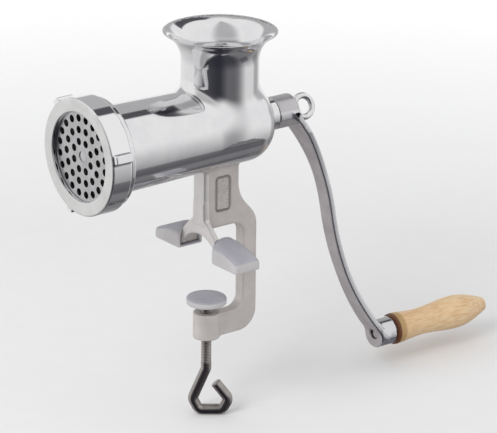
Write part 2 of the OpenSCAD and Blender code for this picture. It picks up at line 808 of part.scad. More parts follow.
body_casting();
foot_pad_front();
foot_pad_rear();
plate_key_pin();
rear_bush();
thrust_washer();
ring_nut();
grinding_plate();
knife();
knife_stud();
worm();
crank_arm();
thumb_screw();
grip_bolt();
grip_washer();
grip();
clamp_disc();
clamp_disc_rubber();
clamp_screw();
clamp_screw_rivet();
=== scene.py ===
"""Looks of the hand crank meat grinder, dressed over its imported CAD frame.

Shapes are worked out in millimetres in the row's own frame: X along the barrel towards the crank, Z up,
the origin on the clamp screw's axis at the height of the table top. Meshes are written in metres.

A field gives the distance to a shape's surface, negative inside the shape. Fields are joined, cut and
clipped with round edges, and net_piece makes a mesh where a field is zero.
"""

import math
from collections import namedtuple

import bpy
import numpy as np
from mathutils import Matrix, Vector


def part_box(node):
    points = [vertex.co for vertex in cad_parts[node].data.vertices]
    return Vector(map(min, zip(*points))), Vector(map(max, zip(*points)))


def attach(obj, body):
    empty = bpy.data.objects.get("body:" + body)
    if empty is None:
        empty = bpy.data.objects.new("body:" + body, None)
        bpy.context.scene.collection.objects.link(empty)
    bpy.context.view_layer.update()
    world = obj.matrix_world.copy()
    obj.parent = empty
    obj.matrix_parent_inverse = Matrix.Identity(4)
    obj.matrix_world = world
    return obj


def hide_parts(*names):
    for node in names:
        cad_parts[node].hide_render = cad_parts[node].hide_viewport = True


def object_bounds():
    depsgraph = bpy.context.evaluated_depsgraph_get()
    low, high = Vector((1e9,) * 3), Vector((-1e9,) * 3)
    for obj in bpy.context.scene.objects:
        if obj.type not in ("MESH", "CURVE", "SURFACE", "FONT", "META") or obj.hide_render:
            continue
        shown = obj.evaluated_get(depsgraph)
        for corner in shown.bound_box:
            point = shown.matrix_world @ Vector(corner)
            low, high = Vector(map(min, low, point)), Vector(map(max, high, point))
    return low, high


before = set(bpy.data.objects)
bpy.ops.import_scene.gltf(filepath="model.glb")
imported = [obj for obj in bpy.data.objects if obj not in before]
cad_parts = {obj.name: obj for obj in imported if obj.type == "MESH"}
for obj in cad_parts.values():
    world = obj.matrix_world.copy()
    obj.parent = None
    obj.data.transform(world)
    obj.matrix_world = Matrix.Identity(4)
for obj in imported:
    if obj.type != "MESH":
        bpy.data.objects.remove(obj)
cad_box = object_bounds()

MM = 0.001
FULL_TURN = 2 * math.pi
# How far a cut runs on past the face that it opens, and one shape runs into another
PAST = 9.0
OVERLAP = 1.0
# Play of a hole round what sits in it, and the gap between neighbours along the barrel
PLAY = 0.05
GAP = 0.1


def box_mm(node):
    """Lowest and highest corner of a CAD node, in millimetres."""
    low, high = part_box(node)
    return [c / MM for c in low], [c / MM for c in high]


# ---- sizes read from the frame

ring_low, ring_high = box_mm("ring_nut")
worm_low, worm_high = box_mm("worm")
plate_low, plate_high = box_mm("grinding_plate")
grip_low, grip_high = box_mm("grip")
disc_low, disc_high = box_mm("clamp_disc")
rubber_low, rubber_high = box_mm("clamp_disc_rubber")

AXIS_Z = (worm_low[2] + worm_high[2]) / 2
GRIP_Z = (grip_low[2] + grip_high[2]) / 2
RIM_Z = box_mm("body_casting")[1][2]
BUSH_R = box_mm("rear_bush")[1][1]

# ---- sizes shared with the CAD

BARREL_FRONT_R = 32.5
BARREL_REAR_R = 30.0
BORE_R = 26.5
REAR_EDGE_R = 20.0
REAR_BOSS_LEN = 8.6
REAR_FACE_X = 57.6
REAR_BOSS_R = 12.4
BORE_END_X = 36.0
HOPPER_X = 11.0
COLUMN_R = 28.4
THROAT_R = 24.6
RIM_R = 42.8
FLARE_R = 24.0
RIM_LIP = 2.0
RING_R = 43.0
OUTLET_R = 32.8
RING_LIP = 3.5
COLLAR_R = 38.2
FLANGE_R = 40.6
FLANGE_LEN = 4.4
LUG_COUNT = 3
LUG_W = 6.6
LUG_H = 3.8
LUG_IN = 6.0
LUG_LEN = 14.0
LUG_ANGLE = 42.0
RING_CLEAR = 0.6
PLATE_R = 35.0
PLATE_PROUD = 1.5
CHAMBER_R = 32.5
CHAMBER_CONE = 4.4
CHAMBER_STEP = 0.6
FLIGHT_R = 26.0
SHANK_R = 7.0
CRANK_HUB_R = 12.3
LEG_FRONT_X = 7.5
LEG_FLANGE_T = 4.5
LEG_FLANGE_W = 14.0
WEB_T = 10.0
WEB_BACK_X = 25.6
SPINE_BACK_X = 42.5
THROAT_X = 30.0
MOUTH_DEPTH = 48.0
ARM_DEPTH = 18.0
CLAMP_BOSS_R = 10.0
PAD_W = 22.0
PAD_H = 19.0
TOE_H = 8.0
PAD_START = 20.0
PAD_LEN = 30.0
PAD_WALL = 2.0
SCREW_R = 4.0

RING_X = ring_low[0]
RING_BACK_X = ring_high[0]
FLANGE_X = RING_BACK_X + RING_CLEAR
FLANGE_BACK_X = FLANGE_X + FLANGE_LEN
COLLAR_X = plate_low[0] + PLATE_PROUD
EDGE_X = REAR_FACE_X - REAR_BOSS_LEN - REAR_EDGE_R
ARM_TOP_Z = -MOUTH_DEPTH
ARM_BOTTOM_Z = ARM_TOP_Z - ARM_DEPTH

# ---- distance fields


def blend_union(a, b, fillet):
    """Joins two fields with a fillet of about that width."""
    h = np.clip(0.5 + 0.5 * (b - a) / fillet, 0, 1)
    return b * (1 - h) + a * h - fillet * h * (1 - h)


def blend_cut(a, b, edge):
    """Takes field b out of field a and rounds the edge that is left."""
    return -blend_union(-a, b, edge)


def blend_clip(a, b, edge):
    """What fields a and b share, with its edge rounded."""
    return -blend_union(-a, -b, edge)


def round_corner(u, v, edge):
    """Distance to a corner where u and v are both zero, rounded to that radius."""
    u = u + edge
    v = v + edge
    return np.hypot(np.maximum(u, 0), np.maximum(v, 0)) + np.minimum(np.maximum(u, v), 0) - edge


def disc(r, a, radius, low, high, edge):
    """A cylinder of that radius between two stations on its axis."""
    return round_corner(r - radius, np.abs(a - (low + high) / 2) - (high - low) / 2, edge)


def slab(flat, across, half, edge):
    """A flat outline made into a plate of that half thickness."""
    return round_corner(flat, np.abs(across) - half, edge)


def rectangle(u, v, low, high, edge):
    """A flat rectangle with round corners."""
    return round_corner(
        np.abs(u - (low[0] + high[0]) / 2) - (high[0] - low[0]) / 2,
        np.abs(v - (low[1] + high[1]) / 2) - (high[1] - low[1]) / 2,
        edge,
    )


def square(u, v, width, edge):
    """A flat square about the origin."""
    return rectangle(u, v, (-width / 2,) * 2, (width / 2,) * 2, edge)


def turned(u, v, angle):
    """Flat coordinates turned by an angle."""
    c, s = math.cos(angle), math.sin(angle)
    return u * c - v * s, u * s + v * c


def polygon(u, v, corners):
    """Signed distance to a flat polygon."""
    d2 = np.full(np.shape(u), np.inf)
    inside = np.zeros(np.shape(u), bool)
    for (au, av), (bu, bv) in zip(corners, corners[1:] + corners[:1]):
        eu, ev = bu - au, bv - av
        t = np.clip(((u - au) * eu + (v - av) * ev) / (eu * eu + ev * ev), 0, 1)
        d2 = np.minimum(d2, (u - au - t * eu) ** 2 + (v - av - t * ev) ** 2)
        if ev:
            inside ^= ((av > v) != (bv > v)) & (u < au + (v - av) * eu / ev)
    return np.where(inside, -1, 1) * np.sqrt(d2)


# ---- meshes

COARSE = 4  # fine grid steps in a coarse one
SETTLE_ROUNDS = 5
SLOPE_STEP = 0.02
SEGMENTS = 96


def new_object(name, data):
    """An object in the scene."""
    made = bpy.data.objects.new(name, data)
    bpy.context.scene.collection.objects.link(made)
    return made


def new_piece(name, points, faces, material):
    """A mesh object from points in millimetres."""
    mesh = bpy.data.meshes.new(name)
    mesh.from_pydata((np.asarray(points, float) * MM).tolist(), [], [list(map(int, f)) for f in faces])
    mesh.validate()
    mesh.shade_smooth()
    mesh.materials.append(material)
    return new_object(name, mesh)


def point_value(piece, name, values):
    """Stores one number for each point, for a material to read."""
    attribute = piece.data.attributes.new(name, "FLOAT", "POINT")
    attribute.data.foreach_set("value", np.asarray(values, np.float32))


def field_slope(field, p):
    """Gradient of a field at points."""
    g = np.empty_like(p)
    for i in range(3):
        step = np.zeros(3)
        step[i] = SLOPE_STEP
        g[:, i] = (field(*(p + step).T) - field(*(p - step).T)) / (2 * SLOPE_STEP)
    return g


def refine(values):
    """Repeats each coarse value over the fine steps that it covers."""
    return values.repeat(COARSE, 0).repeat(COARSE, 1).repeat(COARSE, 2)


def sample_field(field, low, high, step):
    """A grid of field values, exact near the surface only, and the grid's lowest corner."""
    low = np.asarray(low, float) - 1.5 * step
    counts = np.ceil((np.asarray(high, float) + 1.5 * step - low) / step / COARSE).astype(int)
    axes = [low[i] + step * COARSE * (np.arange(counts[i]) + 0.5) for i in range(3)]
    rough = field(*np.meshgrid(*axes, indexing="ij"))
    values = refine(rough)
    fine = np.argwhere(refine(np.abs(rough) < step * COARSE * 1.5))
    values[tuple(fine.T)] = field(*(low + (fine + 0.5) * step).T)
    return values, low


def surface_cells(solid):
    """The grid cells that the surface passes through, and a grid of their numbers."""
    n = np.array(solid.shape) - 1
    corners = sum(
        solid[i : n[0] + i, j : n[1] + j, k : n[2] + k].astype(np.int8)
        for i in (0, 1)
        for j in (0, 1)
        for k in (0, 1)
    )
    cells = np.argwhere((corners > 0) & (corners < 8))
    index = np.full(n, -1, np.int64)
    index[tuple(cells.T)] = np.arange(len(cells))
    return cells, index


def settle(field, p, step):
    """Moves points from the middles of their cells onto the surface."""
    centre = p.copy()
    for _ in range(SETTLE_ROUNDS):
        g = field_slope(field, p)
        p = p - g * (field(*p.T) / np.maximum((g * g).sum(1), 0.05))[:, None]
        p = np.clip(p, centre - 0.75 * step, centre + 0.75 * step)
    return p


def net_quads(solid, index):
    """A quad across each grid edge that has one end inside the solid, facing out."""
    n = np.array(solid.shape) - 1
    quads = []
    for axis in range(3):
        b, c = (axis + 1) % 3, (axis + 2) % 3
        first = [slice(1, n[i]) for i in range(3)]
        second = list(first)
        first[axis], second[axis] = slice(0, n[axis]), slice(1, n[axis] + 1)
        here, there = solid[tuple(first)], solid[tuple(second)]
        for flip, crossing in ((False, here & ~there), (True, ~here & there)):
            at = np.argwhere(crossing)
            at[:, b] += 1
            at[:, c] += 1
            ring = []
            for db, dc in ((-1, -1), (0, -1), (0, 0), (-1, 0)):
                corner = at.copy()
                corner[:, b] += db
                corner[:, c] += dc
                ring.append(index[tuple(corner.T)])
            quad = np.stack(ring, 1)
            quads.append(quad[:, ::-1] if flip else quad)
    return np.concatenate(quads)


def net_piece(name, field, low, high, step, material):
    """The zero surface of a field as a net of quads, and the net's points."""
    values, low = sample_field(field, low, high, step)
    solid = values < 0
    cells, index = surface_cells(solid)
    p = settle(field, low + (cells + 1.0) * step, step)
    piece = new_piece(name, p, net_quads(solid, index), material)
    g = field_slope(field, p)
    g /= np.maximum(np.linalg.norm(g, axis=1), 1e-9)[:, None]
    piece.data.normals_split_custom_set_from_vertices(g.tolist())
    return piece, p


def lathe_piece(name, profile, material, centre=(0, 0, 0), direction=(0, 0, 1)):
    """A profile of (distance along, radius) pairs turned about an axis. A radius of zero closes it."""
    along = np.asarray(direction, float)
    side = np.cross(along, (0.0, 1.0, 0.0))
    side /= np.linalg.norm(side)
    up = np.cross(along, side)
    turn = np.arange(SEGMENTS) * FULL_TURN / SEGMENTS
    ring = np.cos(turn)[:, None] * side + np.sin(turn)[:, None] * up
    points = []
    rows = []
    for a, r in profile:
        base = np.asarray(centre, float) + along * a
        wide = r > 1e-6
        rows.append((len(points), wide))
        points.extend(base + ring * r if wide else [base])
    faces = []
    for (i, wide_i), (j, wide_j) in zip(rows, rows[1:]):
        for s in range(SEGMENTS):
            t = (s + 1) % SEGMENTS
            if wide_i and wide_j:
                faces.append((i + s, i + t, j + t, j + s))
            elif wide_i:
                faces.append((i + s, i + t, j))
            elif wide_j:
                faces.append((i, j + t, j + s))
    return new_piece(name, points, faces, material)


def stand_for(piece, body, node):
    """The piece rides on a body and replaces a CAD node."""
    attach(piece, body)
    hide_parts(node)


def net_for(node, name, field, step, material, body):
    """A field's mesh in the place of a CAD node, and the mesh's points."""
    low, high = box_mm(node)
    piece, points = net_piece(name, field, low, high, step, material)
    stand_for(piece, body, node)
    return piece, points


# ---- materials


class Nodes:
    """A small writer for node materials. Lengths in them are in metres."""

    def __init__(self, name, tree=None):
        """Starts a new material, or clears the tree that is given."""
        if tree is None:
            self.material = bpy.data.materials.new(name)
            self.material.use_nodes = True
            tree = self.material.node_tree
        self.tree = tree
        tree.nodes.clear()

    def node(self, kind, inputs=(), **settings):
        """A node with its inputs linked or set, and its settings."""
        made = self.tree.nodes.new("ShaderNode" + kind)
        for key, value in settings.items():
            setattr(made, key, value)
        for key, value in dict(inputs).items():
            self.feed(made.inputs[key], value)
        return made

    def feed(self, socket, value):
        """Links a socket, or sets it to a number, a vector or a colour."""
        if isinstance(value, bpy.types.NodeSocket):
            self.tree.links.new(value, socket)
        elif socket.type == "RGBA":
            socket.default_value = (*value, 1)
        else:
            socket.default_value = value

    def math(self, operation, a, b=0.0, c=0.0, clamp=False):
        """Arithmetic on up to three values."""
        made = self.node("Math", {0: a, 1: b, 2: c}, operation=operation, use_clamp=clamp)
        return made.outputs[0]

    def times(self, a, b):
        """The product of two values."""
        return self.math("MULTIPLY", a, b)

    def place(self, scale=(1, 1, 1)):
        """Position in the row's own frame, stretched by scale."""
        coords = self.node("TexCoord").outputs["Object"]
        return self.node("Mapping", {"Vector": coords, "Scale": scale}).outputs[0]

    def axes(self, where):
        """The three parts of a vector."""
        return self.node("SeparateXYZ", {0: where}).outputs

    def noise(self, scale, detail=2.0, rough=0.5, stretch=(1, 1, 1)):
        """Noise over the row's own frame."""
        inputs = {"Vector": self.place(stretch), "Scale": scale, "Detail": detail, "Roughness": rough}
        return self.node("TexNoise", inputs).outputs["Fac"]

    def remap(self, value, low, high, to_low, to_high, **settings):
        """Stretches a value's range onto another, and stops at its ends."""
        ends = {"From Min": low, "From Max": high, "To Min": to_low, "To Max": to_high}
        return self.node("MapRange", {"Value": value, **ends}, **settings).outputs[0]

    def smooth(self, value, low, high):
        """Runs softly from 0 at low to 1 at high, whichever of them is larger."""
        ends = (low, high, 0, 1) if low < high else (high, low, 1, 0)
        return self.remap(value, *ends, interpolation_type="SMOOTHSTEP")

    def mix(self, factor, a, b):
        """From colour a to colour b by a factor."""
        made = self.node("Mix", {"Factor": factor}, data_type="RGBA")
        self.feed(made.inputs[6], a)
        self.feed(made.inputs[7], b)
        return made.outputs[2]

    def tones(self, value, a, b, low=0.3, high=0.7, most=1):
        """From colour a towards colour b as a value goes from low to high."""
        return self.mix(self.remap(value, low, high, 0, most), a, b)

    def spread(self, noise, low, high):
        """A noise stretched over a range."""
        return self.remap(noise, 0.3, 0.7, low, high)

    def bump(self, height, distance, strength=1.0, normal=None):
        """A bumped normal, on top of another one where that is given."""
        inputs = {"Height": height, "Distance": distance, "Strength": strength}
        if normal is not None:
            inputs["Normal"] = normal
        return self.node("Bump", inputs).outputs[0]

    def value(self, name):
        """A piece's point value."""
        return self.node("Attribute", attribute_name=name).outputs["Fac"]

    def finish(self, **inputs):
        """The finished material, from the shader's inputs by name."""
        shader = self.node("BsdfPrincipled")
        for key, value in inputs.items():
            self.feed(shader.inputs[key.replace("_", " ")], value)
        output = self.node("OutputMaterial")
        self.feed(output.inputs["Surface"], shader.outputs[0])
        return self.material


def casting_material():
    """Mirror-polished casting whose leg is left as cast.

    The point value cast is 1 on the leg, groove is 1 in the panel's outline, stipple is 1 inside it.
    The outline is painted dark as shade in its groove.
    """
    m = Nodes("casting")
    cast, groove, stipple = m.value("cast"), m.value("groove"), m.value("stipple")
    grain = m.noise(1400.0, 3.0, 0.6)
    dots = m.noise(620.0, 1.0, 0.4)
    blotch = m.noise(90.0, 3.0)
    wave = m.noise(28.0, 2.0, 0.4)
    scuff = m.noise(260.0, 4.0, 0.6, (1, 6, 6))
    bright = m.tones(blotch, (0.745, 0.745, 0.76), (0.79, 0.785, 0.79), 0.35, 0.65)
    dull = m.tones(blotch, (0.53, 0.49, 0.47), (0.60, 0.56, 0.545))
    polish = m.remap(scuff, 0.3, 0.75, 0.05, 0.12)
    sand = m.spread(grain, 0.42, 0.58)
    rough = m.math("ADD", polish, m.times(cast, m.math("SUBTRACT", sand, polish)))
    ripple = m.bump(wave, 0.00035, 0.35)
    pits = m.bump(grain, 0.00022, cast, ripple)
    pressed = m.bump(dots, 0.0007, stipple, pits)
    dirt = m.times(m.remap(dots, 0.52, 0.62, 0, 0.45), stipple)
    soiled = m.mix(dirt, dull, (0.30, 0.28, 0.27))
    # Painted shade: the panel's outline groove is painted dark
    leg = m.mix(m.times(groove, 0.8), soiled, (0.16, 0.145, 0.135))
    metal = m.math("MULTIPLY_ADD", cast, -0.7, 1.0)
    colour = m.mix(cast, bright, leg)
    return m.finish(Base_Color=colour, Metallic=metal, Roughness=rough, Normal=pressed)


def ring_material():
    """Polished ring nut. The point value satin is 1 on its turned front face."""
    m = Nodes("ring")
    satin = m.value("satin")
    _, y, z = m.axes(m.place())
    z = m.math("SUBTRACT", z, AXIS_Z * MM)
    radius = m.math("SQRT", m.math("ADD", m.times(y, y), m.times(z, z)))
    rings = {"W": radius, "Scale": 2600.0, "Detail": 2.0}
    turned = m.node("TexNoise", rings, noise_dimensions="1D").outputs["Fac"]
    face = m.tones(m.noise(70.0), (0.70, 0.695, 0.69), (0.78, 0.775, 0.77), 0.35, 0.65)
    rough = m.math("MULTIPLY_ADD", satin, 0.33, 0.07)
    grooves = m.bump(turned, 0.00005, satin)
    wave = m.bump(m.noise(34.0), 0.0003, 0.3, grooves)
    colour = m.mix(satin, (0.82, 0.82, 0.83), face)
    return m.finish(Base_Color=colour, Metallic=1.0, Roughness=rough, Normal=wave)


def steel_material(name, colour, rough, stretch=(1, 1, 1), depth=0.00004, spread=0.12):
    """Plain steel with fine machining marks."""
    m = Nodes(name)
    marks = m.noise(1500.0, 3.0, 0.6, stretch)
    blotch = m.noise(120.0, 3.0)
    tint = m.tones(blotch, tuple(c * 0.8 for c in colour), colour)
    roughness = m.spread(marks, rough - spread / 2, rough + spread / 2)
    return m.finish(Base_Color=tint, Metallic=1.0, Roughness=roughness, Normal=m.bump(marks, depth))


def crank_material():
    """Bar with matt cast faces and polished edges. The point value polish is 1 on what is bright."""
    m = Nodes("crank")
    polish = m.value("polish")
    grain = m.noise(1100.0, 3.0, 0.6)
    dull = m.tones(m.noise(80.0, 3.0), (0.35, 0.32, 0.33), (0.43, 0.40, 0.41))
    rough = m.math("MULTIPLY_ADD", polish, -0.30, 0.46)
    pits = m.bump(grain, 0.0002, m.math("SUBTRACT", 1.0, polish))
    wave = m.bump(m.noise(45.0), 0.0004, 0.3, pits)
    colour = m.mix(polish, dull, (0.66, 0.66, 0.68))
    metal = m.math("MULTIPLY_ADD", polish, 0.65, 0.35)
    return m.finish(Base_Color=colour, Metallic=metal, Roughness=rough, Normal=wave)


def rubber_material():
    """Grey rubber, with painted light: its sides are painted paler than its top."""
    m = Nodes("pad_rubber")
    grain = m.noise(900.0, 3.0, 0.6)
    blotch = m.noise(60.0)
    # Painted light: the sides are painted paler and the top darker, as the light falls on them
    up = m.axes(m.node("NewGeometry").outputs["Normal"])[2]
    top = m.tones(blotch, (0.33, 0.325, 0.365), (0.39, 0.385, 0.425))
    side = m.tones(blotch, (0.47, 0.455, 0.465), (0.55, 0.53, 0.54))
    return m.finish(
        Base_Color=m.mix(m.smooth(up, 0.15, 0.5), side, top),
        Roughness=m.spread(grain, 0.5, 0.66),
        Normal=m.bump(grain, 0.00012, 0.7),
    )


def wood_material():
    """Turned beech, flecked, with painted shade at its inner end. The point value along is the distance
    from that end.
    """
    m = Nodes("beech")
    grain = m.noise(14.0, 5.0, 0.55, (6, 60, 60))
    fine = m.noise(12.0, 3.0, 0.6, (14, 260, 260))
    cloud = m.noise(26.0)
    cells = {"Vector": m.place((120, 900, 900)), "Scale": 1.0}
    fleck = m.node("TexVoronoi", cells, feature="F1").outputs["Distance"]
    pale = m.tones(cloud, (0.72, 0.50, 0.29), (0.80, 0.61, 0.38), 0.35, 0.65)
    veined = m.tones(grain, pale, (0.60, 0.35, 0.15), 0.40, 0.68, most=0.75)
    flecked = m.mix(m.remap(fleck, 0.0, 0.16, 0.45, 0), veined, (0.38, 0.20, 0.09))
    lined = m.tones(fine, flecked, (0.50, 0.30, 0.15), 0.45, 0.7, most=0.35)
    along = m.math("MULTIPLY_ADD", cloud, 0.9, m.value("along"))
    # Painted shade: a darker band near the inner end, and a dark rim at the end itself
    painted_shade_band = m.mix(m.smooth(along, 9.5, 6.5), lined, (0.42, 0.27, 0.11))
    painted_shade_end = m.mix(m.smooth(along, 3.6, 2.0), painted_shade_band, (0.115, 0.038, 0.012))
    return m.finish(
        Base_Color=painted_shade_end,
        Roughness=m.spread(fine, 0.34, 0.48),
        Normal=m.bump(fine, 0.0001, 0.5),
        Coat_Weight=0.15,
    )


def nylon_material():
    """Off-white plastic of the bearings."""
    m = Nodes("nylon")
    grain = m.noise(700.0)
    colour = m.tones(grain, (0.74, 0.70, 0.60), (0.80, 0.77, 0.68))
    return m.finish(Base_Color=colour, Roughness=0.5, Normal=m.bump(grain, 0.00005))


CASTING = casting_material()
RING = ring_material()
CRANK = crank_material()
RUBBER = rubber_material()
WOOD = wood_material()
NYLON = nylon_material()
PLATE = steel_material("plate_steel", (0.56, 0.56, 0.57), 0.3)
STEEL = steel_material("ground_steel", (0.62, 0.62, 0.63), 0.25)
BRIGHT = steel_material("bright_steel", (0.80, 0.80, 0.81), 0.12, spread=0.06, depth=0.00001)
DARK = steel_material("dark_steel", (0.38, 0.35, 0.335), 0.2, stretch=(6, 6, 1), spread=0.1)
WORM = steel_material("worm_metal", (0.62, 0.61, 0.60), 0.32)

FRAME_LOOKS = {
    PLATE: ["grinding_plate"],
    STEEL: ["knife", "knife_stud", "plate_key_pin", "grip_washer"],
    NYLON: ["rear_bush", "thrust_washer"],
    DARK: ["grip_bolt", "clamp_screw_rivet"],
}


def dress_frame():
    """Gives the CAD nodes that stay in view their materials."""
    for material, names in FRAME_LOOKS.items():
        for name in names:
            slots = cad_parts[name].data.materials
            slots.clear()
            slots.append(material)


# ---- casting

WEB_TOP_Z = 66.0
WEB_CORNER_Z = 42.0
SHOULDER_Z = 23.0
WEB_UNDERSIDE_Z = 20.0
WEB_SET = 1.0
WEB_IN_BARREL = 12.0
MOUTH_CORNER_R = 9.0
SPINE_CORNER_R = 16.0
FLANGE_DOWN = 4.0
FLANGE_UP = 6.0
LEG_EDGE_R = 1.3
LEG_MIDDLE_X = 17.0
LEG_HALF = 30.0
BRANCH_ROOT_Z = 29.0
BRANCH_TIP_Z = 12.0
BRANCH_SOLE_Z = 3.0
BRANCH_IN_FLANGE = 12.0
BRANCH_IN_FOOT = 2.0
PAD_CLEAR = 0.3
PAD_OPEN = 6.0
SHOE_SET = 3.0
FOOT_ARCH_R = 24.0
FOOT_ARCH_Z = 16.0
FOOT_FLAT = 3.0
FOOT_CROWN = 1.0
CLAMP_BOSS_RISE = 2.0
PANEL_X = 10.8
PANEL_Z = 45.5
PANEL_W = 13.5
PANEL_H = 27.0
PANEL_CORNER_R = 3.0
PANEL_DEPTH = 0.5
PANEL_GROOVE = 1.2
FAR = 400.0


def barrel_field(x, r):
    """Outside of the barrel with its collar, flange and rear boss."""
    taper = np.clip((x - FLANGE_BACK_X) / (EDGE_X - FLANGE_BACK_X), 0, 1)
    radius = BARREL_FRONT_R + (BARREL_REAR_R - BARREL_FRONT_R) * taper
    rounded = np.hypot(np.maximum(r - radius + REAR_EDGE_R, 0), np.maximum(x - EDGE_X, 0)) - REAR_EDGE_R
    shell = np.maximum(rounded, FLANGE_X - x)
    collar = disc(r, x, COLLAR_R, COLLAR_X, FLANGE_X + OVERLAP, edge=0.5)
    flange = disc(r, x, FLANGE_R, FLANGE_X, FLANGE_BACK_X, edge=0.9)
    boss = disc(r, x, REAR_BOSS_R, EDGE_X, REAR_FACE_X, edge=0.4)
    outside = blend_union(blend_union(shell, flange, fillet=2.0), boss, fillet=3.0)
    return np.minimum(outside, collar)


def barrel_hollow_field(x, r):
    """Everything that is hollow inside the barrel."""
    knife_x = plate_high[0] + GAP
    chamber_x = worm_low[0] - GAP + CHAMBER_STEP
    cone_end_x = chamber_x + CHAMBER_CONE
    slope = (CHAMBER_R - BORE_R) / CHAMBER_CONE
    lean = 1 / math.hypot(1, slope)
    cone = (r - CHAMBER_R + slope * (x - chamber_x)) * lean
    cone = np.maximum(cone, np.maximum(chamber_x - x - OVERLAP, x - cone_end_x))
    recess = disc(r, x, PLATE_R + PLAY, COLLAR_X - PAST, knife_x, edge=0.2)
    chamber = disc(r, x, CHAMBER_R, COLLAR_X, chamber_x, edge=0.1)
    bore = disc(r, x, BORE_R, chamber_x, BORE_END_X, edge=0.3)
    bush = disc(r, x, BUSH_R + PLAY, BORE_END_X - 2 * OVERLAP, REAR_FACE_X + PAST, edge=0.2)
    return np.minimum(np.minimum(np.minimum(recess, chamber), np.minimum(cone, bore)), bush)


def flare_field(r, z, straight_r, rim_r):
    """A straight round wall that curves out to a rim: negative inside it."""
    rise = math.sqrt(FLARE_R**2 - (straight_r + FLARE_R - rim_r) ** 2)
    out = np.minimum(r - straight_r - FLARE_R, 0)
    return FLARE_R - np.hypot(out, np.maximum(z - RIM_Z + rise, 0))


def hopper_field(r, z):
    """Outside of the hopper, from the barrel's axis up."""
    outside = flare_field(r, z, COLUMN_R, RIM_R)
    return np.maximum(round_corner(outside, z - RIM_Z, edge=0.7), AXIS_Z - z)


def hopper_hollow_field(r, z):
    """Inside of the hopper and its throat."""
    return np.maximum(flare_field(r, z, THROAT_R, RIM_R - RIM_LIP), AXIS_Z - z)


def clamp_field(x, y, z):
    """Web, spine and lower arm, as one plate with rounded edges."""
    fall_x, fall_z = SPINE_BACK_X - WEB_BACK_X, WEB_CORNER_Z - SHOULDER_Z
    slant = ((x - WEB_BACK_X) * fall_z + (z - WEB_CORNER_Z) * fall_x) / math.hypot(fall_x, fall_z)
    heel = round_corner(x - SPINE_BACK_X, ARM_BOTTOM_Z - z, SPINE_CORNER_R)
    spine = blend_clip(heel, slant, edge=5.0)
    web = round_corner(x - WEB_BACK_X, WEB_UNDERSIDE_Z - z, edge=0.5)
    back = blend_union(spine, web, fillet=7.0)
    front = np.where(z > ARM_TOP_Z / 2, WEB_SET - LEG_FRONT_X - x, -x)
    mouth = rectangle(x, z, (-FAR, ARM_TOP_Z), (THROAT_X, WEB_UNDERSIDE_Z), MOUTH_CORNER_R)
    outline = np.maximum(np.maximum(np.maximum(back, front), -mouth), z - WEB_TOP_Z - WEB_IN_BARREL)
    return slab(outline, y, WEB_T / 2, LEG_EDGE_R)


def foot_field(x, y, z, inset, from_y, edge):
    """A foot or the outside of a pad, on both sides."""
    reach = np.abs(y)
    drop = inset * 1.1
    run, fall = PAD_LEN - FOOT_FLAT - inset, PAD_H + FOOT_CROWN - TOE_H
    section = np.hypot(x, np.maximum(z - PAD_H + PAD_W / 2, 0)) - PAD_W / 2 + inset
    down = (reach - PAD_START - FOOT_FLAT) * fall + (z - PAD_H - FOOT_CROWN + drop) * run
    slope = down / math.hypot(run, fall)
    ends = np.maximum(from_y - reach, reach - PAD_START - PAD_LEN + inset)
    body = blend_clip(section, slope, 2.2 * edge)
    body = blend_clip(body, ends, edge)
    return blend_clip(body, inset - z, edge)


def branch_field(x, y, z):
    """The two branches that spread from the flange to the feet."""
    reach = PAD_START + SHOE_SET + BRANCH_IN_FOOT
    half = LEG_FLANGE_W / 2
    right = [(half - 1, BRANCH_ROOT_Z + BRANCH_IN_FLANGE), (half, BRANCH_ROOT_Z)]
    right += [(reach, BRANCH_TIP_Z), (reach, BRANCH_SOLE_Z)]
    outline = polygon(y, z, right + [(-u, v) for u, v in reversed(right)])
    arch = np.hypot(y, z - FOOT_ARCH_Z + FOOT_ARCH_R) - FOOT_ARCH_R
    flat = blend_cut(outline, arch, edge=0.8)
    plate = slab(flat, x + LEG_FRONT_X - LEG_FLANGE_T / 2, LEG_FLANGE_T / 2, edge=1.5)
    mouth = foot_field(x, y, z, PAD_WALL + PAD_CLEAR, PAD_START - BRANCH_IN_FOOT, edge=0.6)
    outside = np.maximum(plate, np.abs(y) - PAD_START + PAD_CLEAR)
    return np.minimum(outside, np.maximum(plate, mouth))


def panel_distance(x, z):
    """Distance to the outline of the bare panel on the web's side."""
    low = (PANEL_X - PANEL_W / 2, PANEL_Z - PANEL_H / 2)
    high = (PANEL_X + PANEL_W / 2, PANEL_Z + PANEL_H / 2)
    return rectangle(x, z, low, high, PANEL_CORNER_R)


def leg_field(x, y, z):
    """Flange, web, branches, feet and clamp arm, with the panel's outline pressed in."""
    low = (-LEG_FLANGE_W / 2, BRANCH_ROOT_Z - FLANGE_DOWN)
    high = (LEG_FLANGE_W / 2, WEB_TOP_Z + FLANGE_UP)
    front = x + LEG_FRONT_X - LEG_FLANGE_T / 2
    flange = slab(rectangle(y, z, low, high, LEG_EDGE_R), front, LEG_FLANGE_T / 2, LEG_EDGE_R)
    leg = blend_union(clamp_field(x, y, z), flange, fillet=3.0)
    leg = blend_union(leg, branch_field(x, y, z), fillet=2.5)
    boss = disc(np.hypot(x, y), z, CLAMP_BOSS_R, ARM_BOTTOM_Z, ARM_TOP_Z + CLAMP_BOSS_RISE, edge=0.8)
    leg = blend_union(leg, boss, fillet=2.5)
    panel = panel_distance(x, z)
    groove = np.maximum(panel, -PANEL_GROOVE - panel)
    leg = blend_cut(leg, np.maximum(groove, y + WEB_T / 2 - PANEL_DEPTH), edge=0.4)
    return np.minimum(leg, foot_field(x, y, z, PAD_WALL + GAP, PAD_START + SHOE_SET, edge=0.8))


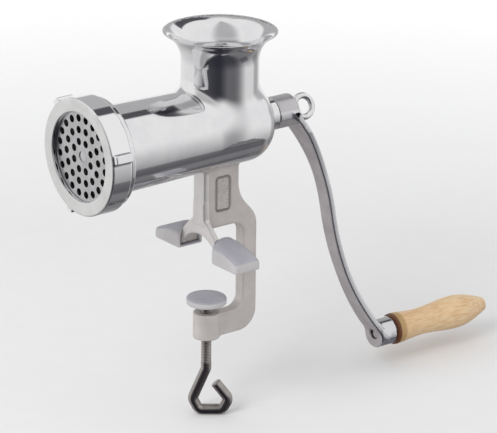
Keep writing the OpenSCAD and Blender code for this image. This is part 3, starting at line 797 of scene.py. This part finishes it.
def casting_field(x, y, z):
    """The whole casting."""
    r = np.hypot(y, z - AXIS_Z)
    hopper_r = np.hypot(x - HOPPER_X, y)
    solid = blend_union(barrel_field(x, r), hopper_field(hopper_r, z), fillet=9.0)
    solid = blend_union(solid, leg_field(x, y, z), fillet=4.0)
    hollow = blend_union(barrel_hollow_field(x, r), hopper_hollow_field(hopper_r, z), fillet=1.5)
    bore = disc(np.hypot(x, y), z, SCREW_R + PLAY, ARM_BOTTOM_Z - PAST, ARM_TOP_Z + PAST, edge=0.1)
    return blend_cut(solid, np.minimum(hollow, bore), edge=0.7)


def cast_amount(x, y, z):
    """How far each point of the casting is left as cast: 0 on the polished body, most on the leg."""
    under = AXIS_Z - np.sqrt(np.maximum(BARREL_REAR_R**2 - y**2, 0))
    leg = np.clip((under - z) / 3.0 + 0.2, 0, 1)
    leg = leg * (np.abs(x - LEG_MIDDLE_X) < LEG_HALF) * (z < AXIS_Z - 20)
    # The flange and the branches have been rubbed brighter than the web behind them
    behind = np.clip((LEG_FLANGE_T + 1.5 - LEG_FRONT_X - x) / 1.5, 0, 1)
    rubbed = behind * (z > 0) * (np.abs(y) < PAD_START)
    return leg * (1 - 0.4 * rubbed)


def add_casting():
    """Body, hopper and clamp in one piece."""
    piece, p = net_for("body_casting", "casting", casting_field, 0.95, CASTING, "root")
    x, y, z = p.T
    point_value(piece, "cast", cast_amount(x, y, z))
    edge = panel_distance(x, z)
    side = (y < 1 - WEB_T / 2) & (z < WEB_TOP_Z)
    # groove marks the panel's outline, which the casting's material paints dark as shade
    point_value(piece, "groove", side * np.clip(1.3 - np.abs(edge + PANEL_GROOVE / 2), 0, 1))
    point_value(piece, "stipple", side * np.clip(-edge - PANEL_GROOVE, 0, 1))


def pad_field(x, y, z):
    """A rubber cap, hollow where the foot goes in."""
    outside = foot_field(x, y, z, 0, PAD_START, edge=1.6)
    inside = foot_field(x, y, z, PAD_WALL, PAD_START - PAD_OPEN, edge=0.6)
    return blend_cut(outside, inside, edge=0.8)


def add_pads():
    """Rubber caps on both feet."""
    for name in ("foot_pad_front", "foot_pad_rear"):
        net_for(name, name + "_cap", pad_field, 0.75, RUBBER, "root")


# ---- ring nut


def ring_field(x, y, z):
    """Ring with its lugs, the outlet in front and the thread's bore behind."""
    z = z - AXIS_Z
    r = np.hypot(y, z)
    solid = disc(r, x, RING_R, RING_X, RING_BACK_X, edge=1.3)
    middle = (RING_X + RING_BACK_X) / 2
    for i in range(LUG_COUNT):
        across, out = turned(y, z, math.radians(LUG_ANGLE - i * 360 / LUG_COUNT))
        low, high = (RING_R - LUG_IN, -LUG_W / 2), (RING_R + LUG_H, LUG_W / 2)
        flat = rectangle(out, across, low, high, edge=1.0)
        solid = blend_union(solid, slab(flat, x - middle, LUG_LEN / 2, edge=1.0), fillet=2.0)
    outlet = disc(r, x, OUTLET_R, RING_X - PAST, RING_X + RING_LIP + OVERLAP, edge=0.1)
    thread = disc(r, x, COLLAR_R + PLAY, RING_X + RING_LIP, RING_BACK_X + PAST, edge=0.3)
    return blend_cut(blend_cut(solid, outlet, edge=1.1), thread, edge=0.8)


def add_ring():
    """The ring nut."""
    piece, p = net_for("ring_nut", "ring", ring_field, 0.65, RING, "ring_nut")
    point_value(piece, "satin", np.clip((RING_X + 0.9 - p[:, 0]) / 0.6, 0, 1))


# ---- crank

HUB_GAP = 0.4
HUB_LEN = 19.0
HUB_CHAMFER = 2.0
ARM_W = 14.2
ARM_END_W = 21.0
WIDEN_LEN = 50.0
ARM_T = 5.0
TAPER_FROM = 17.0
TAPER_LEN = 40.0
BAR_OUT = 7.0
BAR_DOWN = 15.0
BAR_ROOT_LEN = 19.0
BOW_R = 176.0
BOW_START = math.radians(35)
BOW_END = math.radians(9.6)
SWEEP_R = 234.0
BAR_SINK = 1.0
GRIP_BOSS_R = 10.9
GRIP_BOSS_LEN = 15.0
RIVET_SEAT_R = 4.2
RIVET_SEAT = 4.0
BOLT_R = 2.5
TANG_W = 9.6
EYE_R = 8.0
EYE_ROD_R = 2.4
EYE_ROOM = 0.4
EYE_SINK = 0.8
EYE_TURN = math.radians(20)
THUMB_COLLAR_R = 6.0
THUMB_COLLAR_T = 1.2
THUMB_R = 3.0
FREE = 20.0  # length kept free beside the crank's boss and hub

HUB_X = REAR_FACE_X + HUB_GAP
HUB_END_X = HUB_X + HUB_LEN
BAR_X = HUB_END_X + BAR_OUT
BAR_Z = AXIS_Z - BAR_DOWN
BEND_X = BAR_X + BOW_R * (math.cos(BOW_END) - math.cos(BOW_START))
BEND_Z = BAR_Z - BOW_R * (math.sin(BOW_START) - math.sin(BOW_END))
SWEEP_END = math.asin(math.sin(BOW_END) + (BEND_Z - GRIP_Z) / SWEEP_R)
BAR_END_X = BEND_X + SWEEP_R * (math.cos(BOW_END) - math.cos(SWEEP_END))
BOSS_X = BAR_END_X - ARM_T / 2 / math.cos(SWEEP_END) - BAR_SINK
BOSS_END_X = BOSS_X + GRIP_BOSS_LEN
COLLAR_FACE_X = HUB_END_X + GAP
EYE_X = COLLAR_FACE_X + THUMB_COLLAR_T + EYE_R + EYE_ROD_R - EYE_SINK


def arc_distance(u, v, centre, radius, low, high):
    """Distance to an arc between two angles, measured from the +u direction."""
    du, dv = u - centre[0], v - centre[1]
    off = np.arctan2(dv, du) - (low + high) / 2
    off = (off + math.pi) % FULL_TURN - math.pi
    over = np.maximum(np.abs(off) - (high - low) / 2, 0) * radius
    return np.hypot(np.hypot(du, dv) - radius, over)


def bar_distance(x, z):
    """Distance to the middle line of the crank's bar, seen from the side."""
    across, up = math.cos(BOW_END), math.sin(BOW_END)
    bow_centre = (BEND_X - BOW_R * across, BEND_Z - BOW_R * up)
    sweep_centre = (BEND_X + SWEEP_R * across, BEND_Z + SWEEP_R * up)
    bow = arc_distance(x, z, bow_centre, BOW_R, BOW_END, BOW_START)
    sweep = arc_distance(x, z, sweep_centre, SWEEP_R, math.pi + BOW_END, math.pi + SWEEP_END)
    along = -(x - BAR_X) * math.sin(BOW_START) + (z - BAR_Z) * math.cos(BOW_START)
    aside = (x - BAR_X) * math.cos(BOW_START) + (z - BAR_Z) * math.sin(BOW_START)
    root = np.hypot(aside, along - np.clip(along, 0, BAR_ROOT_LEN))
    return np.minimum(np.minimum(bow, sweep), root)


def bar_half(z):
    """Half width of the bar: as wide as the hub at its root, and wide again at the boss."""
    taper = np.clip((AXIS_Z - TAPER_FROM - z) / TAPER_LEN, 0, 1)
    widen = np.clip(1 - (z - GRIP_Z - GRIP_BOSS_R) / WIDEN_LEN, 0, 1)
    half = ARM_W / 2 + (CRANK_HUB_R - ARM_W / 2) * (1 - taper) ** 1.5
    return half + (ARM_END_W - ARM_W) / 2 * widen**1.5


def crank_hollow_field(x, y, z, r, grip_r):
    """The tang's socket, room for the screw's eye, the bolt's hole and the grip's side."""
    socket = np.maximum(square(y, z - AXIS_Z, TANG_W, edge=0.4), HUB_X - PAST - x)
    collar = disc(r, x, THUMB_COLLAR_R + 1, HUB_END_X, HUB_END_X + FREE, edge=0.3)
    eye = np.sqrt((x - EYE_X) ** 2 + y**2 + (z - AXIS_Z) ** 2) - EYE_R - EYE_ROD_R - EYE_ROOM
    seat = disc(grip_r, x, RIVET_SEAT_R, BOSS_X - FREE, BOSS_X + RIVET_SEAT, edge=0.2)
    hole = disc(grip_r, x, BOLT_R + PLAY, BOSS_X, BOSS_END_X + PAST, edge=0.1)
    behind = disc(grip_r, x, 2 * GRIP_BOSS_R, BOSS_END_X, BOSS_END_X + FREE, edge=0.1)
    hollow = np.minimum(socket, collar)
    for part in (eye, seat, hole, behind):
        hollow = np.minimum(hollow, part)
    return hollow


def crank_field(x, y, z):
    """Hub, bar and the boss that carries the grip."""
    r = np.hypot(y, z - AXIS_Z)
    grip_r = np.hypot(y, z - GRIP_Z)
    bar = slab(bar_distance(x, z) - ARM_T / 2, y, bar_half(z), edge=1.5)
    bar = np.maximum(bar, z - AXIS_Z)
    hub = disc(r, x, CRANK_HUB_R, HUB_X, HUB_END_X, edge=0.6)
    chamfer = (r - CRANK_HUB_R + x - HUB_END_X + HUB_CHAMFER) / math.sqrt(2)
    hub = blend_clip(hub, chamfer, edge=0.8)
    boss = disc(grip_r, x, GRIP_BOSS_R, BOSS_X, BOSS_END_X, edge=0.9)
    solid = blend_union(blend_union(hub, bar, fillet=3.5), boss, fillet=3.0)
    return blend_cut(solid, crank_hollow_field(x, y, z, r, grip_r), edge=0.8)


def add_crank():
    """The crank, bright on its edges and boss and half bright on its hub."""
    piece, p = net_for("crank_arm", "crank", crank_field, 0.75, CRANK, "crank")
    x, y, z = p.T
    side = np.clip((np.abs(y) - bar_half(z) + 0.9) / 0.6, 0, 1)
    hub = np.clip((HUB_END_X + 1 - x) / 0.8, 0, 1) * (z > AXIS_Z - CRANK_HUB_R - 1)
    boss = np.clip((x - BOSS_X - 0.4) / 0.6, 0, 1) * (z < GRIP_Z + GRIP_BOSS_R + 1)
    point_value(piece, "polish", np.maximum(side, np.maximum(0.55 * hub, boss)))


def thumb_field(x, y, z):
    """Screw with a collar and an eye, whose flat axis leans back from Y."""
    z = z - AXIS_Z
    r = np.hypot(y, z)
    thread = disc(r, x, THUMB_R, REAR_FACE_X - 2, COLLAR_FACE_X + OVERLAP, edge=0.3)
    collar = disc(r, x, THUMB_COLLAR_R, COLLAR_FACE_X, COLLAR_FACE_X + THUMB_COLLAR_T, edge=0.6)
    flat, up = turned(y, z, EYE_TURN)
    eye = np.hypot(np.hypot(x - EYE_X, up) - EYE_R, flat) - EYE_ROD_R
    return np.minimum(blend_union(eye, collar, fillet=1.6), thread)


def add_thumb_screw():
    """The screw that draws the crank onto the tang."""
    net_for("thumb_screw", "thumb_screw_eye", thumb_field, 0.45, BRIGHT, "thumb_screw")


# ---- grip

GRIP_BASE_R = 12.3
GRIP_WAIST_R = 10.4
GRIP_BELLY_R = 12.9
GRIP_TIP_R = 5.6
WAIST_AT = 28.0
BELLY_AT = 63.0
BOLT_HEAD_R = 3.9
BOLT_SEAT = 5.0
GRIP_STEPS = 90


def grip_radius(s, length):
    """Radius of the grip at a distance from its inner end."""
    if s < WAIST_AT:
        return GRIP_BASE_R + (GRIP_WAIST_R - GRIP_BASE_R) * (1 - math.cos(math.pi * s / WAIST_AT)) / 2
    if s < BELLY_AT:
        t = (s - WAIST_AT) / (BELLY_AT - WAIST_AT)
        return GRIP_WAIST_R + (GRIP_BELLY_R - GRIP_WAIST_R) * (1 - math.cos(math.pi * t)) / 2
    t = (s - BELLY_AT) / (length - BELLY_AT)
    return GRIP_TIP_R + (GRIP_BELLY_R - GRIP_TIP_R) * math.cos(math.pi / 2 * t)


def add_grip():
    """The wooden grip, bored for its bolt and sunk for the bolt's head."""
    length = grip_high[0] - grip_low[0]
    hole = BOLT_R + PLAY
    seat = BOLT_HEAD_R + GAP
    profile = [(0, hole), (0, GRIP_BASE_R - 1.6), (0.15, GRIP_BASE_R - 1.1), (0.8, GRIP_BASE_R - 0.35)]
    for i in range(2, GRIP_STEPS + 1):
        # Closer together near the tip, where the outline turns in
        s = length * math.sin(math.pi / 2 * i / GRIP_STEPS)
        profile.append((s, grip_radius(s, length)))
    profile += [(length, GRIP_TIP_R - 0.6), (length - 0.4, seat + 0.3), (length - 0.9, seat)]
    profile += [(length - BOLT_SEAT, seat), (length - BOLT_SEAT, hole)]
    profile.append(profile[0])
    piece = lathe_piece("wooden_grip", profile, WOOD, (grip_low[0], 0, GRIP_Z), (1, 0, 0))
    along = np.array([v.co[0] for v in piece.data.vertices]) / MM - grip_low[0]
    point_value(piece, "along", along)
    stand_for(piece, "grip", "grip")


# ---- clamp screw

LOOP_TOP = 88.0
LOOP_BOTTOM = 128.0
LOOP_BEND_R = 5.5
LOOP_TURN = math.radians(36)
# Corners of the open loop, as distance to the side and height
LOOP_PATH = [
    (0, -LOOP_TOP + 6), (0, -LOOP_TOP - 3), (-10, -LOOP_BOTTOM + 13), (-5.5, -LOOP_BOTTOM + SCREW_R),
    (12.5, -LOOP_BOTTOM + SCREW_R), (17, -LOOP_BOTTOM + 12.5), (7, -LOOP_BOTTOM + 25.5),
]
BEND_STEPS = 14
ROD_SIDES = 24
ROD_R = SCREW_R - 0.05
THREAD_PITCH = 1.25
THREAD_DEPTH = 0.7
THREAD_END_Z = -86.0
THREAD_ROWS = 6  # rings in each turn of the thread
ROUND_OFF = (0, 0.4, 0.7, 0.9, 1.0)


def bend(corner, way_in, way_out, radius):
    """Stations round one bend: point and direction."""
    turn = math.atan2(way_in[0] * way_out[1] - way_in[1] * way_out[0], float(way_in @ way_out))
    left = np.array((-way_in[1], way_in[0])) * math.copysign(1, turn)
    centre = corner - way_in * radius * math.tan(abs(turn) / 2) + left * radius
    stations = []
    for k in range(BEND_STEPS + 1):
        a = turn * k / BEND_STEPS
        way = np.array(turned(way_in[0], way_in[1], a))
        out = np.array((way[1], -way[0])) * math.copysign(1, turn)
        stations.append((centre + out * radius, way))
    return stations


def bent_path(corners, radius):
    """Stations along a flat path with round bends."""
    corners = [np.array(c, float) for c in corners]
    ways = [b - a for a, b in zip(corners, corners[1:])]
    ways = [way / np.linalg.norm(way) for way in ways]
    stations = [(corners[0], ways[0])]
    for corner, way_in, way_out in zip(corners[1:], ways, ways[1:]):
        stations += bend(corner, way_in, way_out, radius)
    return stations + [(corners[-1], ways[-1])]


def thread_points(top_z):
    """Rings of the threaded shank, close enough together for the thread to show."""
    points = []
    rows = int((top_z - THREAD_END_Z) / THREAD_PITCH * THREAD_ROWS)
    for i in range(rows + 1):
        z = top_z + (THREAD_END_Z - top_z) * i / rows
        fade = min(1, (z - THREAD_END_Z) / 2, (top_z - z) / 1.0)
        for j in range(ROD_SIDES):
            a = FULL_TURN * j / ROD_SIDES
            phase = (z / THREAD_PITCH - a / FULL_TURN) % 1
            r = SCREW_R - THREAD_DEPTH * fade * abs(2 * phase - 1)
            points.append((r * math.cos(a), r * math.sin(a), z))
    return points


def loop_points():
    """Rings of the plain rod that bends into the loop, the last ones drawn in to a rounded end."""
    stations = bent_path(LOOP_PATH, LOOP_BEND_R)
    end, way = stations[-1]
    outline = [(spot, way, ROD_R) for spot, way in stations[:-1] if spot[1] < THREAD_END_Z]
    outline += [(end - way * (1 - t), way, ROD_R - (1 - math.sqrt(1 - t * t))) for t in ROUND_OFF]
    points = []
    for spot, way, r in outline:
        left = np.array((-way[1], way[0]))
        for j in range(ROD_SIDES):
            a = FULL_TURN * j / ROD_SIDES
            w, z = spot + r * math.cos(a) * left
            points.append((w, r * math.sin(a), z))
    return points


def add_clamp_screw():
    """The clamp's screw with its thread and its open loop, in one skin."""
    points = np.array(thread_points(disc_low[2] - GAP) + loop_points())
    points[:, :2] = np.stack(turned(points[:, 0], points[:, 1], -LOOP_TURN), 1)
    last = len(points) - ROD_SIDES
    faces = []
    for start in range(0, last, ROD_SIDES):
        for j in range(ROD_SIDES):
            k = (j + 1) % ROD_SIDES
            faces.append((start + j, start + k, start + ROD_SIDES + k, start + ROD_SIDES + j))
    faces.append(list(range(ROD_SIDES))[::-1])
    faces.append([last + j for j in range(ROD_SIDES)])
    piece = new_piece("clamp_rod", points, faces, DARK)
    stand_for(piece, "clamp_screw", "clamp_screw")


# ---- worm

FLIGHT_PITCH = 34.0
FLIGHT_T = 6.0
FLIGHT_FROM = 5.0
CORE_FRONT_R = 10.0
CORE_REAR_R = 13.0
WASHER_ROOM = 2.2
TANG_LEN = 14.0
WORM_BACK_X = BORE_END_X - WASHER_ROOM
TANG_END_X = REAR_FACE_X + TANG_LEN
STUD_HOLE_R = 4.05
STUD_HOLE = 12.0
THUMB_HOLE = 19.0


def flight_field(x, y, z, r, front):
    """The helical flight. A full turn of it is one pitch long."""
    turn = np.arctan2(z, y) / FULL_TURN + 0.25 + (x - front - FLIGHT_FROM) / FLIGHT_PITCH
    turn = turn - np.round(turn)
    lean = FULL_TURN * r / np.hypot(FULL_TURN * r, FLIGHT_PITCH)
    flight = round_corner((np.abs(turn) * FLIGHT_PITCH - FLIGHT_T / 2) * lean, r - FLIGHT_R, edge=1.2)
    return blend_clip(flight, np.maximum(front + FLIGHT_FROM - x, x - WORM_BACK_X + 1), edge=0.8)


def worm_field(x, y, z):
    """Core, flight, shank and square tang, bored for the stud and the thumb screw."""
    z = z - AXIS_Z
    r = np.hypot(y, z)
    front = worm_low[0]
    grow = np.clip((x - front) / (WORM_BACK_X - front), 0, 1)
    core = round_corner(
        r - CORE_FRONT_R - (CORE_REAR_R - CORE_FRONT_R) * grow,
        np.abs(x - (front + WORM_BACK_X) / 2) - (WORM_BACK_X - front) / 2,
        edge=0.8,
    )
    shank = disc(r, x, SHANK_R, WORM_BACK_X - 2, REAR_FACE_X, edge=0.4)
    tang_ends = np.abs(x - (REAR_FACE_X + TANG_END_X) / 2 + 1) - (TANG_END_X - REAR_FACE_X) / 2 - 1
    tang = np.maximum(square(y, z, TANG_W, edge=0.5), tang_ends)
    solid = np.minimum(blend_union(core, flight_field(x, y, z, r, front), fillet=3.0), shank)
    solid = np.minimum(solid, tang)
    stud = disc(r, x, STUD_HOLE_R, front - PAST, front + STUD_HOLE, edge=0.2)
    screw = disc(r, x, THUMB_R + PLAY, TANG_END_X - THUMB_HOLE, TANG_END_X + PAST, edge=0.2)
    return blend_cut(solid, np.minimum(stud, screw), edge=0.3)


def add_worm():
    """The feed worm, seen down the hopper."""
    net_for("worm", "feed_worm", worm_field, 1.05, WORM, "worm")


# ---- pressure disc

STEM_HOLE_R = 2.55
RIVET_HOLE_R = 4.3
RIVET_SINK = 1.8
DIMPLE_R = 7.6
DIMPLE_DEPTH = 0.25
DIMPLE_SLOPE = 0.6


def add_disc():
    """The steel disc with the rivet's recess in its top."""
    low, high, r = disc_low[2], disc_high[2], disc_high[0]
    profile = [
        (low, STEM_HOLE_R), (low, r - 2.4), (low + 0.3, r - 1.3), (low + 1.1, r - 0.4), (low + 2.2, r),
        (high, r), (high, RIVET_HOLE_R + 0.2), (high - 0.2, RIVET_HOLE_R),
        (high - RIVET_SINK, RIVET_HOLE_R), (high - RIVET_SINK, STEM_HOLE_R), (low, STEM_HOLE_R),
    ]
    piece = lathe_piece("pressure_disc", profile, STEEL)
    stand_for(piece, "clamp_disc", "clamp_disc")


def add_disc_cap():
    """The disc's rubber cap, with a shallow dimple on top, and the lining of its inside."""
    low, high, outer = rubber_low[2], rubber_high[2], rubber_high[0]
    inner = disc_high[0] + PLAY
    top = disc_high[2] + PLAY
    outside = [
        (low, inner), (low, outer - 0.5), (low + 0.4, outer - 0.1), (high - 1.6, outer),
        (high - 0.8, outer - 0.25), (high - 0.25, outer - 0.8), (high, outer - 1.6), (high, DIMPLE_R),
        (high - DIMPLE_DEPTH, DIMPLE_R - DIMPLE_SLOPE), (high - DIMPLE_DEPTH, 0),
    ]
    inside = [(low, inner), (top, inner), (top, 0)]
    for name, profile in (("pressure_disc_cap", outside), ("pressure_disc_lining", inside)):
        piece = lathe_piece(name, profile, RUBBER)
        stand_for(piece, "clamp_disc", "clamp_disc_rubber")


dress_frame()
add_casting()
add_pads()
add_ring()
add_crank()
add_thumb_screw()
add_grip()
add_worm()
add_disc()
add_disc_cap()
add_clamp_screw()

# ---- the view

CAMERA_YAW = 52.53
CAMERA_PITCH = 19.85
CAMERA_ROLL = 0.59
CAMERA_DISTANCE = 2588.2
CAMERA_TARGET = (38.3, 0.0, 20.6)
CAMERA_REACH = 50
FOCAL_PX = 3501.0
PHOTO_W = 497.0
SENSOR_W = 36.0
FLOOR_R = 1.1
FLOOR_CLEAR_FROM = 0.45
FLOOR_SIDES = 96
LAMP_AIM = (0.03, 0, 0.03)
SOFT_LIGHT = 0.8


def add_camera():
    """The camera at the photo's viewing angle."""
    yaw, pitch, roll = (math.radians(a) for a in (CAMERA_YAW, CAMERA_PITCH, CAMERA_ROLL))
    ahead = Vector((math.cos(pitch) * math.cos(yaw), math.cos(pitch) * math.sin(yaw), -math.sin(pitch)))
    right = Vector((math.sin(yaw), -math.cos(yaw), 0))
    up = right.cross(ahead)
    turned_right = right * math.cos(roll) + up * math.sin(roll)
    turned_up = up * math.cos(roll) - right * math.sin(roll)
    data = bpy.data.cameras.new("camera")
    data.sensor_width = SENSOR_W
    data.lens = FOCAL_PX / PHOTO_W * SENSOR_W
    data.clip_end = CAMERA_REACH
    camera = new_object("camera", data)
    turn = Matrix((turned_right, turned_up, -ahead)).transposed()
    place = (Vector(CAMERA_TARGET) - ahead * CAMERA_DISTANCE) * MM
    camera.matrix_world = Matrix.Translation(place) @ turn.to_4x4()
    bpy.context.scene.camera = camera


def floor_material():
    """Matt and pale, thinning out towards the floor's rim."""
    m = Nodes("floor")
    reach = m.node("VectorMath", {0: m.place()}, operation="LENGTH").outputs["Value"]
    clear = m.remap(reach, FLOOR_CLEAR_FROM, FLOOR_R - 0.05, 0, 1)
    tone = m.tones(m.noise(60.0, 3.0), (0.765, 0.765, 0.77), (0.775, 0.775, 0.78))
    shader = m.node("BsdfDiffuse", {"Color": tone})
    nothing = m.node("BsdfTransparent")
    mixed = m.node("MixShader", {0: clear, 1: shader.outputs[0], 2: nothing.outputs[0]})
    m.node("OutputMaterial", {"Surface": mixed.outputs[0]})
    return m.material


def add_floor():
    """A pale round floor that keeps the shadows and thins out into the white around it."""
    mesh = bpy.data.meshes.new("floor")
    z = cad_box[0][2]
    turns = [FULL_TURN * i / FLOOR_SIDES for i in range(FLOOR_SIDES)]
    rim = [(FLOOR_R * math.cos(a), FLOOR_R * math.sin(a), z) for a in turns]
    mesh.from_pydata(rim, [], [list(range(FLOOR_SIDES))])
    mesh.materials.append(floor_material())
    floor = new_object("floor", mesh)
    # Metal shows the studio's own lower half instead, with a painted shadow that is darker right under
    # the object
    floor.visible_glossy = False


def add_lamp(name, place, size, power):
    """A square soft lamp that metal doesn't show, in metres and watts."""
    data = bpy.data.lights.new(name, "AREA")
    data.size = size
    data.energy = power
    lamp = new_object(name, data)
    aim = Vector(LAMP_AIM) - Vector(place)
    lamp.matrix_world = Matrix.Translation(place) @ aim.to_track_quat("-Z", "Y").to_matrix().to_4x4()
    lamp.visible_glossy = False


# Dark flags of the studio, which only metal shows: azimuth and half width in degrees,
# lowest and highest sine of elevation, softness of the edges, how dark
Flag = namedtuple("Flag", "azimuth half low high soft dark")
FLAGS = (
    Flag(208, 38, -1.20, 0.30, 0.16, 0.95),
    Flag(258, 44, -1.20, -0.05, 0.25, 0.84),
    Flag(215, 40, 0.35, 1.30, 0.20, 0.45),
    Flag(60, 28, 0.15, 0.95, 0.03, 0.50),
    Flag(19, 13, 0.55, 0.95, 0.012, 0.93),
    Flag(5, 14, -0.60, 0.10, 0.03, 0.45),
    Flag(-40, 15, -0.79, -0.60, 0.02, 0.55),
    Flag(9, 8, -0.90, -0.70, 0.02, 0.55),
)


def flag_light(m, flag, x, y, z, flat):
    """How much light one flag leaves in a direction: 1 where it isn't."""
    a = math.radians(flag.azimuth)
    facing = m.math("ADD", m.times(x, math.cos(a)), m.times(y, math.sin(a)))
    facing = m.math("DIVIDE", facing, m.math("MAXIMUM", flat, 0.001))
    edge = math.cos(math.radians(flag.half))
    side = m.smooth(facing, edge - flag.soft, edge + flag.soft)
    above = m.smooth(z, flag.low - flag.soft, flag.low + flag.soft)
    below = m.smooth(z, flag.high + flag.soft, flag.high - flag.soft)
    cover = m.times(side, m.times(above, below))
    return m.math("ADD", m.times(cover, -flag.dark), 1.0)


def add_world():
    """White all round, with the studio's dark flags and a painted shadow on the ground in what metal
    reflects.
    """
    world = bpy.data.worlds.new("studio")
    bpy.context.scene.world = world
    world.use_nodes = True
    m = Nodes("studio", world.node_tree)
    x, y, z = m.axes(m.node("TexCoord").outputs["Generated"])
    # The ground that metal reflects has the object's shadow painted in: darker towards the object's
    # foot, less so on the left
    left = m.smooth(m.math("MULTIPLY_ADD", x, -0.6, m.times(y, 0.6)), 0.1, 0.6)
    ground = m.times(m.smooth(z, -0.08, -0.84), m.math("MULTIPLY_ADD", left, -0.6, 1.0))
    light = m.math("MULTIPLY_ADD", ground, -0.78, 0.96)
    flat = m.math("SQRT", m.math("SUBTRACT", 1.0, m.times(z, z), clamp=True))
    for flag in FLAGS:
        light = m.times(light, flag_light(m, flag, x, y, z, flat))
    path = m.node("LightPath").outputs
    glossy = m.math("ADD", path["Is Glossy Ray"], path["Is Transmission Ray"], clamp=True)
    tint = m.mix(light, (0.030, 0.030, 0.042), (1, 1, 1))
    colour = m.mix(glossy, (1, 1, 1), tint)
    seen = m.math("ADD", path["Is Camera Ray"], glossy, clamp=True)
    strength = m.math("MULTIPLY_ADD", seen, 1 - SOFT_LIGHT, SOFT_LIGHT)
    back = m.node("Background", {"Color": colour, "Strength": strength})
    m.node("OutputWorld", {"Surface": back.outputs[0]})


add_camera()
add_floor()
add_lamp("key", (-2.2, -0.6, 1.8), 1.6, 45)
add_world()
bpy.context.scene.view_settings.view_transform = "Standard"
